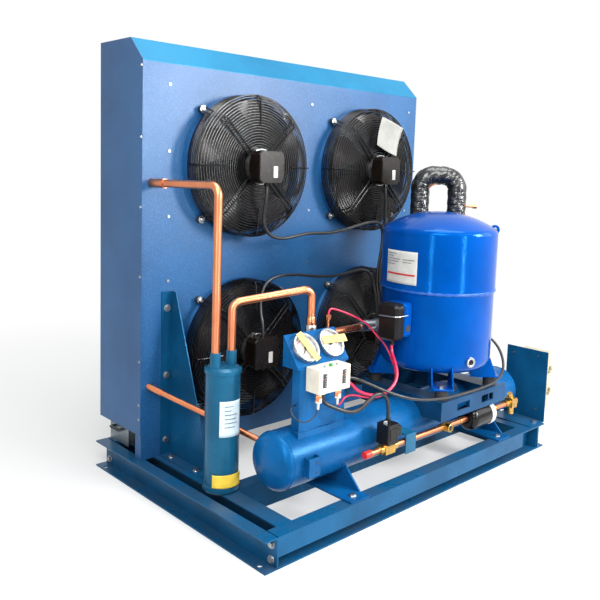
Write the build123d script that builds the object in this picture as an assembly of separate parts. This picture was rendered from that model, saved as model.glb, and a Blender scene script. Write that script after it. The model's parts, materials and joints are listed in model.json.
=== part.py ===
"""Refrigeration condensing unit: four-fan air-cooled condenser, compressor on a liquid receiver,
oil separator, liquid line and gauge panel on one welded channel base.

Millimetres, +Z up, +Y towards the condenser, +X along the receiver.
Origin: centre of the four foundation bolt holes, at floor level.
"""
import os
from math import asin, cos, degrees, radians, sin, sqrt, tan

from build123d import *

# ----------------------------------------------------------------- base
BASE_W = 1188.0            # between the side rails' webs
BASE_D = 804.0
RAIL_H = 80.0
RAIL_FLANGE = 40.0
RAIL_WALL = 4.0
RAIL_BEND = 5.0
LIP_H = 50.0               # front lip of the cross rails
LIP_GAP_RIGHT = 100.0      # the front lip stops this far from the right rail
CROSS_RAIL_D = 42.0
MID_RAIL_Y = 262.0
INNER_RAIL_X = 29.0
INNER_RAIL_W = 49.0
FOUNDATION_HOLE_R = 7.0
FOUNDATION_HOLE_OUT = 26.0  # outside the rail's web
FOUNDATION_HOLE_END = 36.0  # from the rail's end

LEFT = -BASE_W / 2
RIGHT = BASE_W / 2
FRONT = -BASE_D / 2
BACK = BASE_D / 2

# ----------------------------------------------------------------- cabinet
CAB_X = LEFT - 19.6
CAB_W = 1192.0
CAB_Y = FRONT + 581.5      # front face of the fan panel
CAB_D = 234.5
CAB_TOP = 1277.0
CHAMFER = 65.0
SIDE_BOTTOM = 154.0
SHEET = 2.0
SIDE_RETURN = 30.0
COIL_D = 88.0
COIL_SETBACK = 24.0        # from the cabinet's back edge
COIL_TUBES = 12
TUBE_SHEET_GAP = 28.0      # room for the return bends beside the tube sheets
RETURN_BEND_R = 5.0
GUSSET_X = 79.0            # outer face of each gusset's plate, inside the base's web
GUSSET_RUN = 198.0
GUSSET_NOSE = 14.0
GUSSET_TOP = 24.0
GUSSET_RISE = 488.0
GUSSET_FLANGE = 32.0
GUSSET_T = 3.0

# ----------------------------------------------------------------- fans
FAN_X = (331.3, 873.4)     # from the left rail's web
FAN_Z = (373.2, 932.4)
FAN_FOOT = 159.6           # guard feet, each way from the fan's axis
NOZZLE_R = 202.0
NOZZLE_DEPTH = 34.0
NOZZLE_FLARE = 12.0
BLADE_GAP = 6.0
BLADES = 5
BLADE_T = 2.4
BLADE_CAMBER_R = 190.0
BLADE_PITCH = 24.0
BLADE_MID = 34.0           # middle of the blade ahead of the panel's face
HUB_R = 58.0
HUB_WALL = 4.0
HUB_LEN = 62.0
HUB_BACK = 6.0             # from the fan panel's face to the back of the hub
BOSS_H = 14.0
SHAFT_R = 6.0
SHAFT_CLEARANCE = 0.05
STATOR_GAP = 3.0
MOTOR_BOX = 92.0
MOTOR_BOX_D = 46.0
MOTOR_FACE = 141.0         # front of the terminal box, from the panel's face
MOTOR_FLANGE_R = 51.0
GUARD_R = 212.0
GUARD_DEPTH = 88.0
GUARD_WIRE = 4.5
RING_SIDES = 28
CABLE_R = 4.0
GLAND_L = 12.0
SPOKE_PITCH = 14.0
FOOT_PAD_R = 11.0
FOOT_PAD_H = 14.0
PAD_PLATE_T = 3.0

# ----------------------------------------------------------------- receiver
REC_R = 76.0
REC_Y = FRONT + 150.0
REC_Z = 186.0
REC_X0 = LEFT + 79.0       # ends of the domes
REC_X1 = LEFT + 1182.0
REC_DOME = 36.0
REC_WALL = 4.0
FOOT_X = (320.0, 1013.0)   # outer face of each foot's upright, from the left web
FOOT_W = 68.0
FOOT_T = 5.0
FOOT_UPRIGHT_D = 116.0
FOOT_BOLT_Y = 32.0

# ----------------------------------------------------------------- compressor
COMP_X = LEFT + 787.0
COMP_Y = FRONT + 162.0
COMP_R = 176.0
COMP_BOTTOM = 357.0
COMP_SEAM = 578.0
COMP_SHOULDER = 748.0
COMP_TOP = 813.0
COMP_KNUCKLE = 40.0
COMP_FOOT = 127.0          # foot bolts, each way from the axis
COMP_FOOT_Z = 300.0        # underside of the feet
FOOT_PLATE_T = 5.0
FOOT_PLATE_W = 52.0
FOOT_HOLE_R = 6.0
SHELL_WALL = 4.0
PORT_REACH = 192.0         # face of the shell's spuds, from its axis
SUCTION_ANGLE = 20.6
SUCTION_FAR_ANGLE = 53.2
SUCTION_PORT_Z = 664.0
SUCTION_ARCH_Z = 910.0
SUCTION_END_Z = 450.0
SUCTION_BARE = 60.0
SUCTION_BEND = 58.0
SUCTION_SERVICE_Z = 822.0
SERVICE_WAY = (0.586, -0.81, 0.0)
DISCHARGE_ANGLE = 153.7
DISCHARGE_Z = 460.0
NUT_L = 16.0
VALVE_L = 40.0
STEM_R = 5.0
STEM_L = 18.0
SIGHT_GLASS_Z = 377.0
SIGHT_GLASS_ANGLE = 254.0
SIGHT_GLASS_R = 15.0
SIGHT_GLASS_L = 9.0
SIGHT_GLASS_REACH = 170.0
GROMMET_R = 20.0
CRADLE_TOP = 270.0
CRADLE_H = 56.0
CRADLE_WALL = 5.0
CRADLE_OVER = 22.0         # channels run this far past the foot bolts
CHANNEL_W = 66.0
TERM_W = 96.0
TERM_H = 112.0
TERM_D = 70.0
TERM_Z = 438.0

# ----------------------------------------------------------------- pipes
HOT_R = 11.0               # 22 mm hot gas pipe
LIQUID_R = 8.0             # 16 mm liquid pipe
SUCTION_R = 17.5           # 35 mm suction pipe
INSULATION_R = 31.0
SEAT = 0.3                 # gap left between round faces of neighbouring pieces
SEP_X = LEFT + 54.0
SEP_Y = FRONT + 295.0
SEP_R = 49.5
SEP_TOP = 414.0
SEP_PORT = 26.0            # ports, each way from the separator's axis
SEP_PORT_TOP = 452.0
STEM_CLEARANCE = 0.05
PIPE_WALL = 1.5
INLET_X = 12.0
INLET_Z = 878.0
CROSSOVER_Z = 578.0
RISER_X = LEFT + 315.0
RISER_Y = FRONT + 240.0
ABSORBER_Z = (340.0, 500.0)
COUPLING_L = 24.0
U_WIDTH = 60.0
TEE_X = 92.0
TEE_H = 40.0
OUTLET_X = 7.0
OUTLET_Z = 296.0
OUTLET_END = (151.0, 214.0, 199.5)
SOCKET_L = 34.0

# ----------------------------------------------------------------- liquid line
LINE_Y = FRONT + 38.0
LINE_Z = 180.0
DRIER_R = 33.0
DRIER_X = (766.0, 958.0)
SIGHT_X = 672.0
SOLENOID_X = 424.0
CAP_X = 332.0
CAP_L = 24.0
SIGHT_W = 34.0
SOLENOID_HALF = 34.0
COIL_W = 44.0
COIL_H = 56.0
COIL_BASE = 44.0
BRACKET_X = 494.0
BRACKET_W = 44.0
REC_VALVE_X = 1062.0

# ----------------------------------------------------------------- gauges and switch
COLUMN_X = (158.0, 326.0)
COLUMN_Y = FRONT + 112.0
COLUMN_D = 28.0
COLUMN_SHEET = 3.0
PANEL_W = 186.0
PANEL_RUN = 57.0           # how far the sloping face goes back
PANEL_RISE = 74.0
PANEL_FOOT_Z = 431.0
GAUGE_R = 40.0
GAUGE_PITCH = 92.0
GAUGE_D = 14.0
NEEDLE_LEN = 27.0
NEEDLE_POST_R = 2.0
NEEDLE_Z = 7.0             # above the back of the case
SWITCH_W = 114.0
SWITCH_H = 62.0
SWITCH_D = 51.0
SWITCH_X = 177.0
SWITCH_Z = 369.0

# ----------------------------------------------------------------- cables and capillaries
LEAD_R = 3.0
CAPILLARY_R = 1.5
LEAD_Y = 489.0             # leads lie on the front of the guards, from the base's front
BOX_TOP_Z = FAN_Z[0] + MOTOR_BOX / 2
GLAND_Z = FAN_Z[1] - MOTOR_BOX / 2 - GLAND_L
GLAND_Y = 463.5
# Each route is given from the base's left web and front, with its height above the floor.
UPPER_LEAD = (
    (331.3, GLAND_Y, GLAND_Z), (331.3, GLAND_Y, 845), (338, 484, 795), (345, LEAD_Y, 752), (372, LEAD_Y, 722),
    (420, LEAD_Y, 712), (480, LEAD_Y, 719), (541, LEAD_Y, 727), (610, LEAD_Y, 722), (690, LEAD_Y, 729),
    (760, LEAD_Y, 744), (829, LEAD_Y, 756), (880, LEAD_Y, 752), (899, LEAD_Y, 712), (893, LEAD_Y, 650),
    (880, LEAD_Y, 590), (876, 487, 530), (873, 470, 470), (873, 470, BOX_TOP_Z),
)
RIGHT_LEAD = (
    (873.4, GLAND_Y, GLAND_Z), (873.4, GLAND_Y, 845), (886, 476, 795), (897, 481, 750), (900, 481, 700),
    (894, 481, 645), (881, 481, 588), (880, 480, 530), (886, 466, 470), (886, 466, BOX_TOP_Z),
)
LOWER_LEAD = (
    (331.3, GLAND_Y, BOX_TOP_Z), (331.3, GLAND_Y, 450), (334, 482, 495), (340, LEAD_Y, 540), (358, LEAD_Y, 580),
    (397, LEAD_Y, 596), (450, LEAD_Y, 598), (503, LEAD_Y, 594), (565, LEAD_Y, 584), (630, LEAD_Y, 578),
    (688, LEAD_Y, 579), (740, LEAD_Y, 587), (790, LEAD_Y, 592), (835, LEAD_Y, 580), (855, 486, 540),
    (860, 470, 474), (860, 470, BOX_TOP_Z),
)
SWITCH_LEAD = (
    (220, 91.7, 357), (220, 91.7, 335), (250, 80, 318), (290, 66, 300), (322, 54, 300), (344, 44, 324),
    (375, 39, 342), (408, 38, 332), (424, 38, 300), (424, 38, 262.3),
)
HEATER_LEAD = (
    (291, 82, 388), (316, 82, 388), (352, 56, 370), (400, 28, 344), (465, 4, 318), (535, -3, 302),
    (600, -4, 293), (665, -4, 288), (730, -4, 286), (800, -4, 285), (865, -4, 288), (920, 0, 298),
    (962, 14, 318), (988, 36, 346), (994, 60, 378), (972, 80, 407), (936.8, 92.2, 420),
)
BOX_LEAD = (
    (576, 162, 422), (576, 162, 402), (564, 140, 382), (547, 114, 362), (534, 102, 335), (500, 98, 312),
    (455, 97, 306), (400, 95, 318), (352, 93, 340), (322, 95, 372), (291, 95, 372),
)
HIGH_CAPILLARY = (
    (261, 77.3, 343), (261, 77.3, 322), (274, 88, 300), (325, 106, 292), (392, 125, 308), (440, 130, 360),
    (470, 142, 430), (470, 175, 500), (452, 220, 545), (425, 256, 556), (407, 263.2, 540), (407, 263.2, 514),
)
LOW_CAPILLARY = (
    (191, 77.3, 343), (191, 77.3, 322), (178, 82, 300), (152, 90, 294), (132, 104, 308), (134, 124, 332),
    (157.7, 124, 332),
)

# ----------------------------------------------------------------- electric plate
PLATE_X = LEFT + 1236.0
PLATE_Y = (8.0, 165.0)
PLATE_TOP = 327.0
PLATE_T = 3.0
EBOX_D = 36.0
EBOX_Y = (20.0, 118.0)
EBOX_Z = (128.0, 322.0)
LID_T = 8.0

PLATE_FOOT = 86.0
KNUCKLE_R = 5.0
KNUCKLE_Z = (185.0, 262.0)
HINGE_PIN_R = 1.5

BOLT_R = 8.0               # hexagon heads, across their corners' radius
BOLT_H = 6.0
SCREW_R = 4.5
SCREW_H = 2.5
FOOT_BOLT_R = 10.0
FOOT_SHANK_R = 4.0
RAIL_BOLT_Z = (18.0, 56.0)
GUSSET_BOLT_X = 65.0
GUSSET_BOLT_Y = (424.0, 549.0)
GUSSET_BOLT_Z = (126.0, 321.0, 519.0)
PANEL_SCREW_X = {-1: 86.6, 1: 45.0}   # from the cabinet's left and right sides
PANEL_SCREW_Z = (598.0, 783.0, 968.0, 1153.0)
MIDDLE_SCREW_X = 620.0
MIDDLE_SCREW_Z = (618.0, 792.0, 1142.0)
SIDE_SCREW_Y = 587.0
SIDE_SCREW_Z = (202.0, 244.0, 371.0, 615.0, 811.0, 1004.0, 1197.0)
PLATE_SCREWS = ((138.0, 304.0), (45.0, 308.0), (42.0, 119.0))
PLATE_BOLT = (1205.0, 27.0)

os.makedirs("parts", exist_ok=True)


# ================================================================= helpers
def slab(x, y, z):
    """A box between two X, two Y and two Z values."""
    size = Box(x[1] - x[0], y[1] - y[0], z[1] - z[0], align=(Align.MIN, Align.MIN, Align.MIN))
    return Pos(x[0], y[0], z[0]) * size


def rod(radius, length, start, way):
    """A cylinder that starts at a point and runs along a direction."""
    base = Plane(origin=start, z_dir=way)
    return base * Cylinder(radius, length, align=(Align.CENTER, Align.CENTER, Align.MIN))


def hexagon(radius, length, start, way):
    """A hexagon head or nut that starts at a point and runs along a direction."""
    base = Plane(origin=start, z_dir=way)
    return base * extrude(RegularPolygon(radius, 6), length)


def tube(points, radius, bend):
    """A round bar along straight runs joined by tangent arcs of one radius."""
    path = FilletPolyline(*points, radius=bend)
    return sweep(Plane(origin=path @ 0, z_dir=path % 0) * Circle(radius), path=path)


def cord_radii(points):
    """Each corner's arc: 0.45 of the shorter run over the tangent of half the turn."""
    spots = [Vector(*p) for p in points]
    radii = []
    for before, corner, after in zip(spots, spots[1:], spots[2:]):
        run_in = corner - before
        run_out = after - corner
        turn = radians(run_in.get_angle(run_out))
        radii.append(0.45 * min(run_in.length, run_out.length) / tan(turn / 2))
    return radii


def cord(name, route, radius):
    """A cable's tube along hand-chosen points, with arcs as large as its runs allow."""
    points = [(LEFT + x, FRONT + y, z) for x, y, z in route]
    radii = cord_radii(points)
    print(name, "radii", [round(r, 1) for r in radii], "least allowed", 6 * radius)
    path = FilletPolyline(*points, radius=radii)
    return sweep(Plane(origin=path @ 0, z_dir=path % 0) * Circle(radius), path=path)


def profile_face(points, plane):
    """A closed straight-sided face on a plane."""
    return plane * make_face(Polyline(*points, close=True))


def save(name, *solids):
    """Write one node, with all its solids, to its own file."""
    flat = []
    for solid in solids:
        flat.extend(solid.solids())
    export_step(Compound(children=flat, label=name), f"parts/{name}.step")


# ================================================================= base
def side_rail(side):
    """A channel with its flanges outward; side is -1 for left and 1 for right."""
    web = side * BASE_W / 2
    tip = web + side * RAIL_FLANGE
    inner = web + side * RAIL_WALL
    outline = [
        (web, 0), (tip, 0), (tip, RAIL_WALL), (inner, RAIL_WALL),
        (inner, RAIL_H - RAIL_WALL), (tip, RAIL_H - RAIL_WALL), (tip, RAIL_H), (web, RAIL_H),
    ]
    face = profile_face(outline, Plane.XZ.offset(-FRONT))
    rail = extrude(face, -BASE_D)
    corners = rail.edges().filter_by(Axis.Y).sort_by_distance((web, 0, RAIL_H / 2))
    outer_corners = [e for e in corners if abs(e.center().X - web) < 0.01]
    rail = fillet(outer_corners, RAIL_BEND)
    for end in (-1, 1):
        y = end * (BASE_D / 2 - FOUNDATION_HOLE_END)
        x = web + side * FOUNDATION_HOLE_OUT
        rail -= rod(FOUNDATION_HOLE_R, 3 * RAIL_WALL, (x, y, -RAIL_WALL), (0, 0, 1))
    return rail


def cross_rail(face_y, way):
    """A lipped cross rail between the webs; way is 1 when its web lies towards +Y."""
    back = face_y + way * CROSS_RAIL_D
    web = back - way * RAIL_WALL
    lip = face_y + way * RAIL_WALL
    outline = [
        (face_y, 0), (back, 0), (back, RAIL_H), (face_y, RAIL_H), (face_y, RAIL_H - LIP_H),
        (lip, RAIL_H - LIP_H), (lip, RAIL_H - RAIL_WALL), (web, RAIL_H - RAIL_WALL),
        (web, RAIL_WALL), (face_y, RAIL_WALL),
    ]
    face = profile_face(outline, Plane.YZ.offset(LEFT))
    rail = extrude(face, BASE_W)
    y_span = sorted((lip, web))
    for x in (LEFT, RIGHT - RAIL_WALL):
        rail += slab((x, x + RAIL_WALL), y_span, (RAIL_WALL, RAIL_H - RAIL_WALL))
    return rail


def base_frame():
    """The welded and bolted channel base."""
    save("base_rail_left", side_rail(-1))
    save("base_rail_right", side_rail(1))
    front = cross_rail(FRONT, 1)
    cut_z = (RAIL_H - LIP_H - 1, RAIL_H - RAIL_WALL)
    front -= slab((RIGHT - LIP_GAP_RIGHT, RIGHT - RAIL_WALL), (FRONT - 1, FRONT + RAIL_WALL), cut_z)
    save("base_rail_front", front)
    save("base_rail_rear", cross_rail(BACK, -1))

    mid_y = FRONT + MID_RAIL_Y
    inner_left = LEFT + INNER_RAIL_X + INNER_RAIL_W
    middle = slab((inner_left, -inner_left), (mid_y, mid_y + RAIL_FLANGE), (0, RAIL_H))
    hollow_y = (mid_y + RAIL_WALL, mid_y + RAIL_FLANGE + 1)
    middle -= slab((inner_left - 1, 1 - inner_left), hollow_y, (RAIL_WALL, RAIL_H - RAIL_WALL))
    save("base_rail_middle", middle)

    inner = []
    span_y = (FRONT + CROSS_RAIL_D, BACK - CROSS_RAIL_D)
    for side in (-1, 1):
        near = side * (BASE_W / 2 - INNER_RAIL_X)
        far = side * (BASE_W / 2 - INNER_RAIL_X - INNER_RAIL_W)
        bar = slab(sorted((near, far)), span_y, (0, RAIL_H))
        open_x = sorted((near + side, far + side * RAIL_WALL))
        bar -= slab(open_x, (span_y[0] - 1, span_y[1] + 1), (RAIL_WALL, RAIL_H - RAIL_WALL))
        inner.append(bar)
    save("base_rails_inner", *inner)


# ================================================================= cabinet
def fan_planes():
    """A plane on each fan's axis at the panel's face, its Z forward and its Y up."""
    spots = [(LEFT + x, CAB_Y, z) for z in FAN_Z for x in FAN_X]
    return [Plane(origin=spot, x_dir=(1, 0, 0), z_dir=(0, -1, 0)) for spot in spots]


def side_panel(x, return_x):
    """A chamfered side sheet with a folded back return."""
    back = CAB_Y + CAB_D
    outline = [
        (CAB_Y, SIDE_BOTTOM), (back, SIDE_BOTTOM), (back, CAB_TOP),
        (CAB_Y + CHAMFER, CAB_TOP), (CAB_Y, CAB_TOP - CHAMFER),
    ]
    sheet = extrude(profile_face(outline, Plane.YZ.offset(x)), SHEET)
    return sheet + slab(return_x, (back - SHEET, back), (SIDE_BOTTOM, CAB_TOP - SIDE_RETURN))


def cabinet_sheets():
    """Side and top sheets of the condenser's cabinet."""
    x0 = CAB_X + SHEET
    x1 = CAB_X + CAB_W - SHEET
    back = CAB_Y + CAB_D
    save("cabinet_side_left", side_panel(CAB_X, (x0, x0 + SIDE_RETURN)))
    save("cabinet_side_right", side_panel(x1, (x1 - SIDE_RETURN, x1)))
    slope = SHEET * tan(radians(22.5))
    face_top = CAB_TOP - CHAMFER
    roof = [
        (CAB_Y, face_top), (CAB_Y + CHAMFER, CAB_TOP), (back, CAB_TOP),
        (back, CAB_TOP - SIDE_RETURN), (back - SHEET, CAB_TOP - SIDE_RETURN),
        (back - SHEET, CAB_TOP - SHEET), (CAB_Y + CHAMFER + slope, CAB_TOP - SHEET),
        (CAB_Y + SHEET, face_top - slope), (CAB_Y + SHEET, face_top - SHEET),
        (CAB_Y, face_top - SHEET),
    ]
    save("cabinet_top", extrude(profile_face(roof, Plane.YZ.offset(x0)), x1 - x0))


def nozzle():
    """An inlet ring on a fan's plane: a flared foot on the panel and a straight throat."""
    outline = [
        (NOZZLE_R, 0), (NOZZLE_R + NOZZLE_FLARE, 0), (NOZZLE_R + SHEET, NOZZLE_FLARE),
        (NOZZLE_R + SHEET, NOZZLE_DEPTH), (NOZZLE_R, NOZZLE_DEPTH),
    ]
    return revolve(profile_face(outline, Plane.XZ), Axis.Z)


def fan_panel():
    """The front sheet with its folded edges, and the four inlet rings on it."""
    x = (CAB_X + SHEET, CAB_X + CAB_W - SHEET)
    z = (RAIL_H, CAB_TOP - CHAMFER - SHEET)
    panel = slab(x, (CAB_Y, CAB_Y + SHEET), z)
    fold_y = (CAB_Y + SHEET, CAB_Y + SIDE_RETURN)
    panel += slab((x[0], x[0] + SHEET), fold_y, z)
    panel += slab((x[1] - SHEET, x[1]), fold_y, z)
    panel += slab(x, fold_y, (z[0], z[0] + SHEET))
    for plane in fan_planes():
        panel -= plane * Cylinder(NOZZLE_R, 4 * SHEET)
    save("fan_panel", panel)
    ring = nozzle()
    save("fan_nozzles", *[plane * ring for plane in fan_planes()])


def condenser_coil():
    """Fin block between two tube sheets, with return bends and two headers."""
    back = CAB_Y + CAB_D - COIL_SETBACK
    y = (back - COIL_D, back)
    z = (RAIL_H, CAB_TOP - 2 * SIDE_RETURN)
    x = (CAB_X + SHEET + TUBE_SHEET_GAP, CAB_X + CAB_W - SHEET - TUBE_SHEET_GAP)
    block = slab(x, y, z)
    pieces = [block]
    for sheet_x in (x[0] - SHEET, x[1]):
        pieces.append(slab((sheet_x, sheet_x + SHEET), (y[0] - 10, y[1] + 10), z))
    pitch = (z[1] - z[0]) / COIL_TUBES
    for row in range(COIL_TUBES):
        height = z[0] + (row + 0.5) * pitch
        reach = x[0] - SHEET - 3 * RETURN_BEND_R
        ends = (y[0] + COIL_D / 4, y[1] - COIL_D / 4)
        points = [
            (x[0] - SHEET, ends[0], height), (reach, ends[0], height),
            (reach, ends[1], height), (x[0] - SHEET, ends[1], height),
        ]
        pieces.append(polygon_bar(points, RETURN_BEND_R))
    save("condenser_coil", *pieces)


def polygon_bar(points, radius):
    """A six-sided bar along straight runs with mitred corners, for small repeated bends."""
    path = Polyline(*points)
    start = Plane(origin=path @ 0, z_dir=path % 0)
    return sweep(start * RegularPolygon(radius, 6), path=path, transition=Transition.RIGHT)


def gusset(side):
    """A folded triangular stay between the base and the fan panel; side is -1 or 1."""
    x = side * (BASE_W / 2 - GUSSET_X)
    back = CAB_Y
    plate = profile_face(
        [(back, RAIL_H), (back - GUSSET_RUN, RAIL_H), (back - GUSSET_RUN, RAIL_H + GUSSET_NOSE),
         (back - GUSSET_TOP, RAIL_H + GUSSET_RISE), (back, RAIL_H + GUSSET_RISE)],
        Plane.YZ.offset(x),
    )
    stay = extrude(plate, -side * GUSSET_T)
    flange_x = sorted((x, x + side * GUSSET_FLANGE))
    stay += slab(flange_x, (back - GUSSET_RUN, back), (RAIL_H, RAIL_H + GUSSET_T))
    stay += slab(flange_x, (back - GUSSET_T, back), (RAIL_H, RAIL_H + GUSSET_RISE))
    return stay


# ================================================================= fans
def polar(radius, angle):
    """A point at a radius and an angle in degrees."""
    return (radius * cos(radians(angle)), radius * sin(radians(angle)))


def blade():
    """One sickle blade: a planform cut out of a cambered plate at its pitch."""
    tip = NOZZLE_R - BLADE_GAP
    root = HUB_R - HUB_WALL / 2
    edge = (
        ThreePointArc(polar(root, -30), polar(0.6 * tip, -20), polar(tip, 4))
        + ThreePointArc(polar(tip, 4), polar(tip, 24), polar(tip, 44))
        + ThreePointArc(polar(tip, 44), polar(0.65 * tip, 27), polar(root, 26))
        + Line(polar(root, 26), polar(root, -30))
    )
    planform = Pos(0, 0, -HUB_LEN) * extrude(make_face(edge), 3 * HUB_LEN)
    middle = BLADE_MID
    centre_y = BLADE_CAMBER_R * sin(radians(BLADE_PITCH))
    centre_z = middle - BLADE_CAMBER_R * cos(radians(BLADE_PITCH))
    plate = rod(BLADE_CAMBER_R, tip + 2, (0, centre_y, centre_z), (1, 0, 0))
    plate -= rod(BLADE_CAMBER_R - BLADE_T, tip + 4, (-1, centre_y, centre_z), (1, 0, 0))
    shape = (planform & plate).solids().sort_by(Axis.Z)[-1]
    return shape - Cylinder(root, 6 * HUB_LEN)


def rotor():
    """Hub cup of the external-rotor motor with its blades and shaft boss."""
    z0 = HUB_BACK
    cup = Pos(0, 0, z0 + HUB_LEN / 2) * Cylinder(HUB_R, HUB_LEN)
    cavity = HUB_LEN - HUB_WALL
    cup -= Pos(0, 0, z0 + HUB_WALL + cavity / 2) * Cylinder(HUB_R - HUB_WALL, cavity)
    cup += rod(2 * SHAFT_R, BOSS_H, (0, 0, z0 + HUB_WALL), (0, 0, 1))
    cup -= rod(SHAFT_R + SHAFT_CLEARANCE, BOSS_H + HUB_WALL, (0, 0, z0 + HUB_WALL / 2), (0, 0, 1))
    for number in range(BLADES):
        cup += Rot(0, 0, number * 360 / BLADES) * blade()
    return cup


def motor():
    """Stator with its shaft, mounting flange, terminal box and cable gland."""
    box_z = MOTOR_FACE - MOTOR_BOX_D
    core_z = HUB_BACK + HUB_WALL + BOSS_H + STATOR_GAP
    body = rod(MOTOR_FLANGE_R, box_z - core_z, (0, 0, core_z), (0, 0, 1))
    shaft_z = HUB_BACK + HUB_WALL
    body += rod(SHAFT_R, core_z - shaft_z, (0, 0, shaft_z), (0, 0, 1))
    outline = chamfer(Rectangle(MOTOR_BOX, MOTOR_BOX).vertices(), MOTOR_BOX / 8)
    body += Pos(0, 0, box_z) * extrude(outline, MOTOR_BOX_D)
    body += hexagon(CABLE_R + 3, GLAND_L, (0, -MOTOR_BOX / 2, box_z + MOTOR_BOX_D / 2), (0, -1, 0))
    return body


def wire_ring(radius, z):
    """One flat ring of the guard."""
    half = GUARD_WIRE / 2
    outline = RegularPolygon(radius + half, RING_SIDES) - RegularPolygon(radius - half, RING_SIDES)
    return Pos(0, 0, z - half) * extrude(outline, GUARD_WIRE)


def guard():
    """Wire basket: rings, four paired spokes with feet and four short spokes."""
    top = GUARD_DEPTH - GUARD_WIRE / 2
    low = NOZZLE_DEPTH + 2 * GUARD_WIRE
    half = GUARD_WIRE / 2
    foot_r = FAN_FOOT * sqrt(2)
    inner_r = MOTOR_FLANGE_R + SEAT
    basket = wire_ring(GUARD_R, low) + wire_ring(GUARD_R - 6, top)
    for quarter in range(4):
        spoke = None
        for side in (-1, 1):
            y = (side * SPOKE_PITCH / 2 - half, side * SPOKE_PITCH / 2 + half)
            arm = slab((inner_r, foot_r + FOOT_PAD_R), y, (top - half, top + half))
            arm += slab((foot_r + FOOT_PAD_R - GUARD_WIRE, foot_r + FOOT_PAD_R), y, (FOOT_PAD_H, top))
            spoke = arm if spoke is None else spoke + arm
        spoke += slab((foot_r - FOOT_PAD_R, foot_r + FOOT_PAD_R), (-FOOT_PAD_R, FOOT_PAD_R),
                      (FOOT_PAD_H, FOOT_PAD_H + PAD_PLATE_T))
        basket += Rot(0, 0, 45 + 90 * quarter) * spoke
        stay = slab((GUARD_R * 0.6, GUARD_R), (-half, half), (top - half, top + half))
        stay += slab((GUARD_R - half, GUARD_R + half), (-half, half), (low, top))
        basket += Rot(0, 0, 90 * quarter) * stay
    return basket


def foot_pads():
    """Rubber pads under the guard's four feet."""
    pads = []
    for quarter in range(4):
        pad = rod(FOOT_PAD_R, FOOT_PAD_H, (FAN_FOOT * sqrt(2), 0, 0), (0, 0, 1))
        pads.append(Rot(0, 0, 45 + 90 * quarter) * pad)
    return pads


def fans():
    """Four rotors as nodes of their own, with all guards and all motors in two more."""
    one_rotor = rotor()
    one_guard = guard()
    one_motor = motor()
    guards = []
    motors = []
    for number, plane in enumerate(fan_planes(), start=1):
        save(f"fan_rotor_{number}", plane * one_rotor)
        guards.append(plane * one_guard)
        guards.extend(plane * pad for pad in foot_pads())
        motors.append(plane * one_motor)
    save("fan_guards", *guards)
    save("fan_motors", *motors)



# ================================================================= receiver
def receiver():
    """A horizontal tank with dished ends, and its two feet."""
    half = (REC_X1 - REC_X0) / 2
    edge = half - REC_DOME
    knuckle = (half - 0.3 * REC_DOME, 0.72 * REC_R)
    head = make_face(
        Line((0, 0), (half, 0))
        + ThreePointArc((half, 0), (half - 0.07 * REC_DOME, 0.38 * REC_R), knuckle)
        + TangentArc((edge, REC_R), knuckle, tangent=(1, 0))
        + Line((edge, REC_R), (0, REC_R))
        + Line((0, REC_R), (0, 0))
    )
    tank = revolve(head, Axis.X)
    tank += mirror(tank, about=Plane.YZ)
    cavity = 2 * (half - 2 * REC_DOME)
    tank -= rod(REC_R - REC_WALL, cavity, (-cavity / 2, 0, 0), (1, 0, 0))
    save("receiver_shell", Pos((REC_X0 + REC_X1) / 2, REC_Y, REC_Z) * tank)

    feet = []
    for x in FOOT_X:
        right = LEFT + x
        y = (FRONT + FOOT_T, FRONT + MID_RAIL_Y + RAIL_FLANGE)
        foot = slab((right - FOOT_W, right), y, (RAIL_H, RAIL_H + FOOT_T))
        reach = FOOT_UPRIGHT_D
        low = RAIL_H + FOOT_T
        upright = profile_face(
            [(REC_Y - reach, low), (REC_Y + reach - FOOT_T, low), (REC_Y + 0.6 * REC_R, REC_Z - 0.4 * REC_R),
             (REC_Y - 0.6 * REC_R, REC_Z - 0.4 * REC_R)],
            Plane.YZ.offset(right - FOOT_T),
        )
        foot += extrude(upright, FOOT_T)
        foot -= rod(REC_R + SEAT, 4 * FOOT_T, (right - 2 * FOOT_T, REC_Y, REC_Z), (1, 0, 0))
        feet.append(foot)
    save("receiver_feet", *feet)


def cradle():
    """Two saddle channels over the receiver, joined by a front and a rear web."""
    x_left = COMP_X - COMP_FOOT - CHANNEL_W / 2
    x_right = COMP_X + COMP_FOOT + CHANNEL_W / 2
    y = (COMP_Y - COMP_FOOT - CRADLE_OVER, COMP_Y + COMP_FOOT + CRADLE_OVER)
    z = (CRADLE_TOP - CRADLE_H, CRADLE_TOP)
    frame = None
    for x in (x_left, x_right - CHANNEL_W):
        bar = slab((x, x + CHANNEL_W), y, z)
        open_x = (x + CRADLE_WALL, x + CHANNEL_W - CRADLE_WALL)
        bar -= slab(open_x, (y[0] - 1, y[1] + 1), (z[0] - 1, z[1] - CRADLE_WALL))
        frame = bar if frame is None else frame + bar
    frame += slab((x_left, x_right + CRADLE_OVER), (y[0] - CRADLE_WALL, y[0]), z)
    frame += slab((x_left, x_right), (y[1], y[1] + CRADLE_WALL), z)
    frame -= rod(REC_R + SEAT, 2 * (x_right - x_left), (x_left - CHANNEL_W, REC_Y, REC_Z), (1, 0, 0))
    window = (x_right - x_left) / 4
    for step in (1, 2.6):
        x0 = x_left + step * window
        frame -= slab((x0, x0 + 0.8 * window), (y[0] - 2 * CRADLE_WALL, y[0] + 1),
                      (z[0] + CRADLE_H * 0.3, z[0] + CRADLE_H * 0.7))
    save("compressor_cradle", frame)


# ================================================================= compressor
def foot_spots():
    """Bolt axis of each compressor foot."""
    return [(COMP_X + a * COMP_FOOT, COMP_Y + b * COMP_FOOT) for a in (-1, 1) for b in (-1, 1)]


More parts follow.
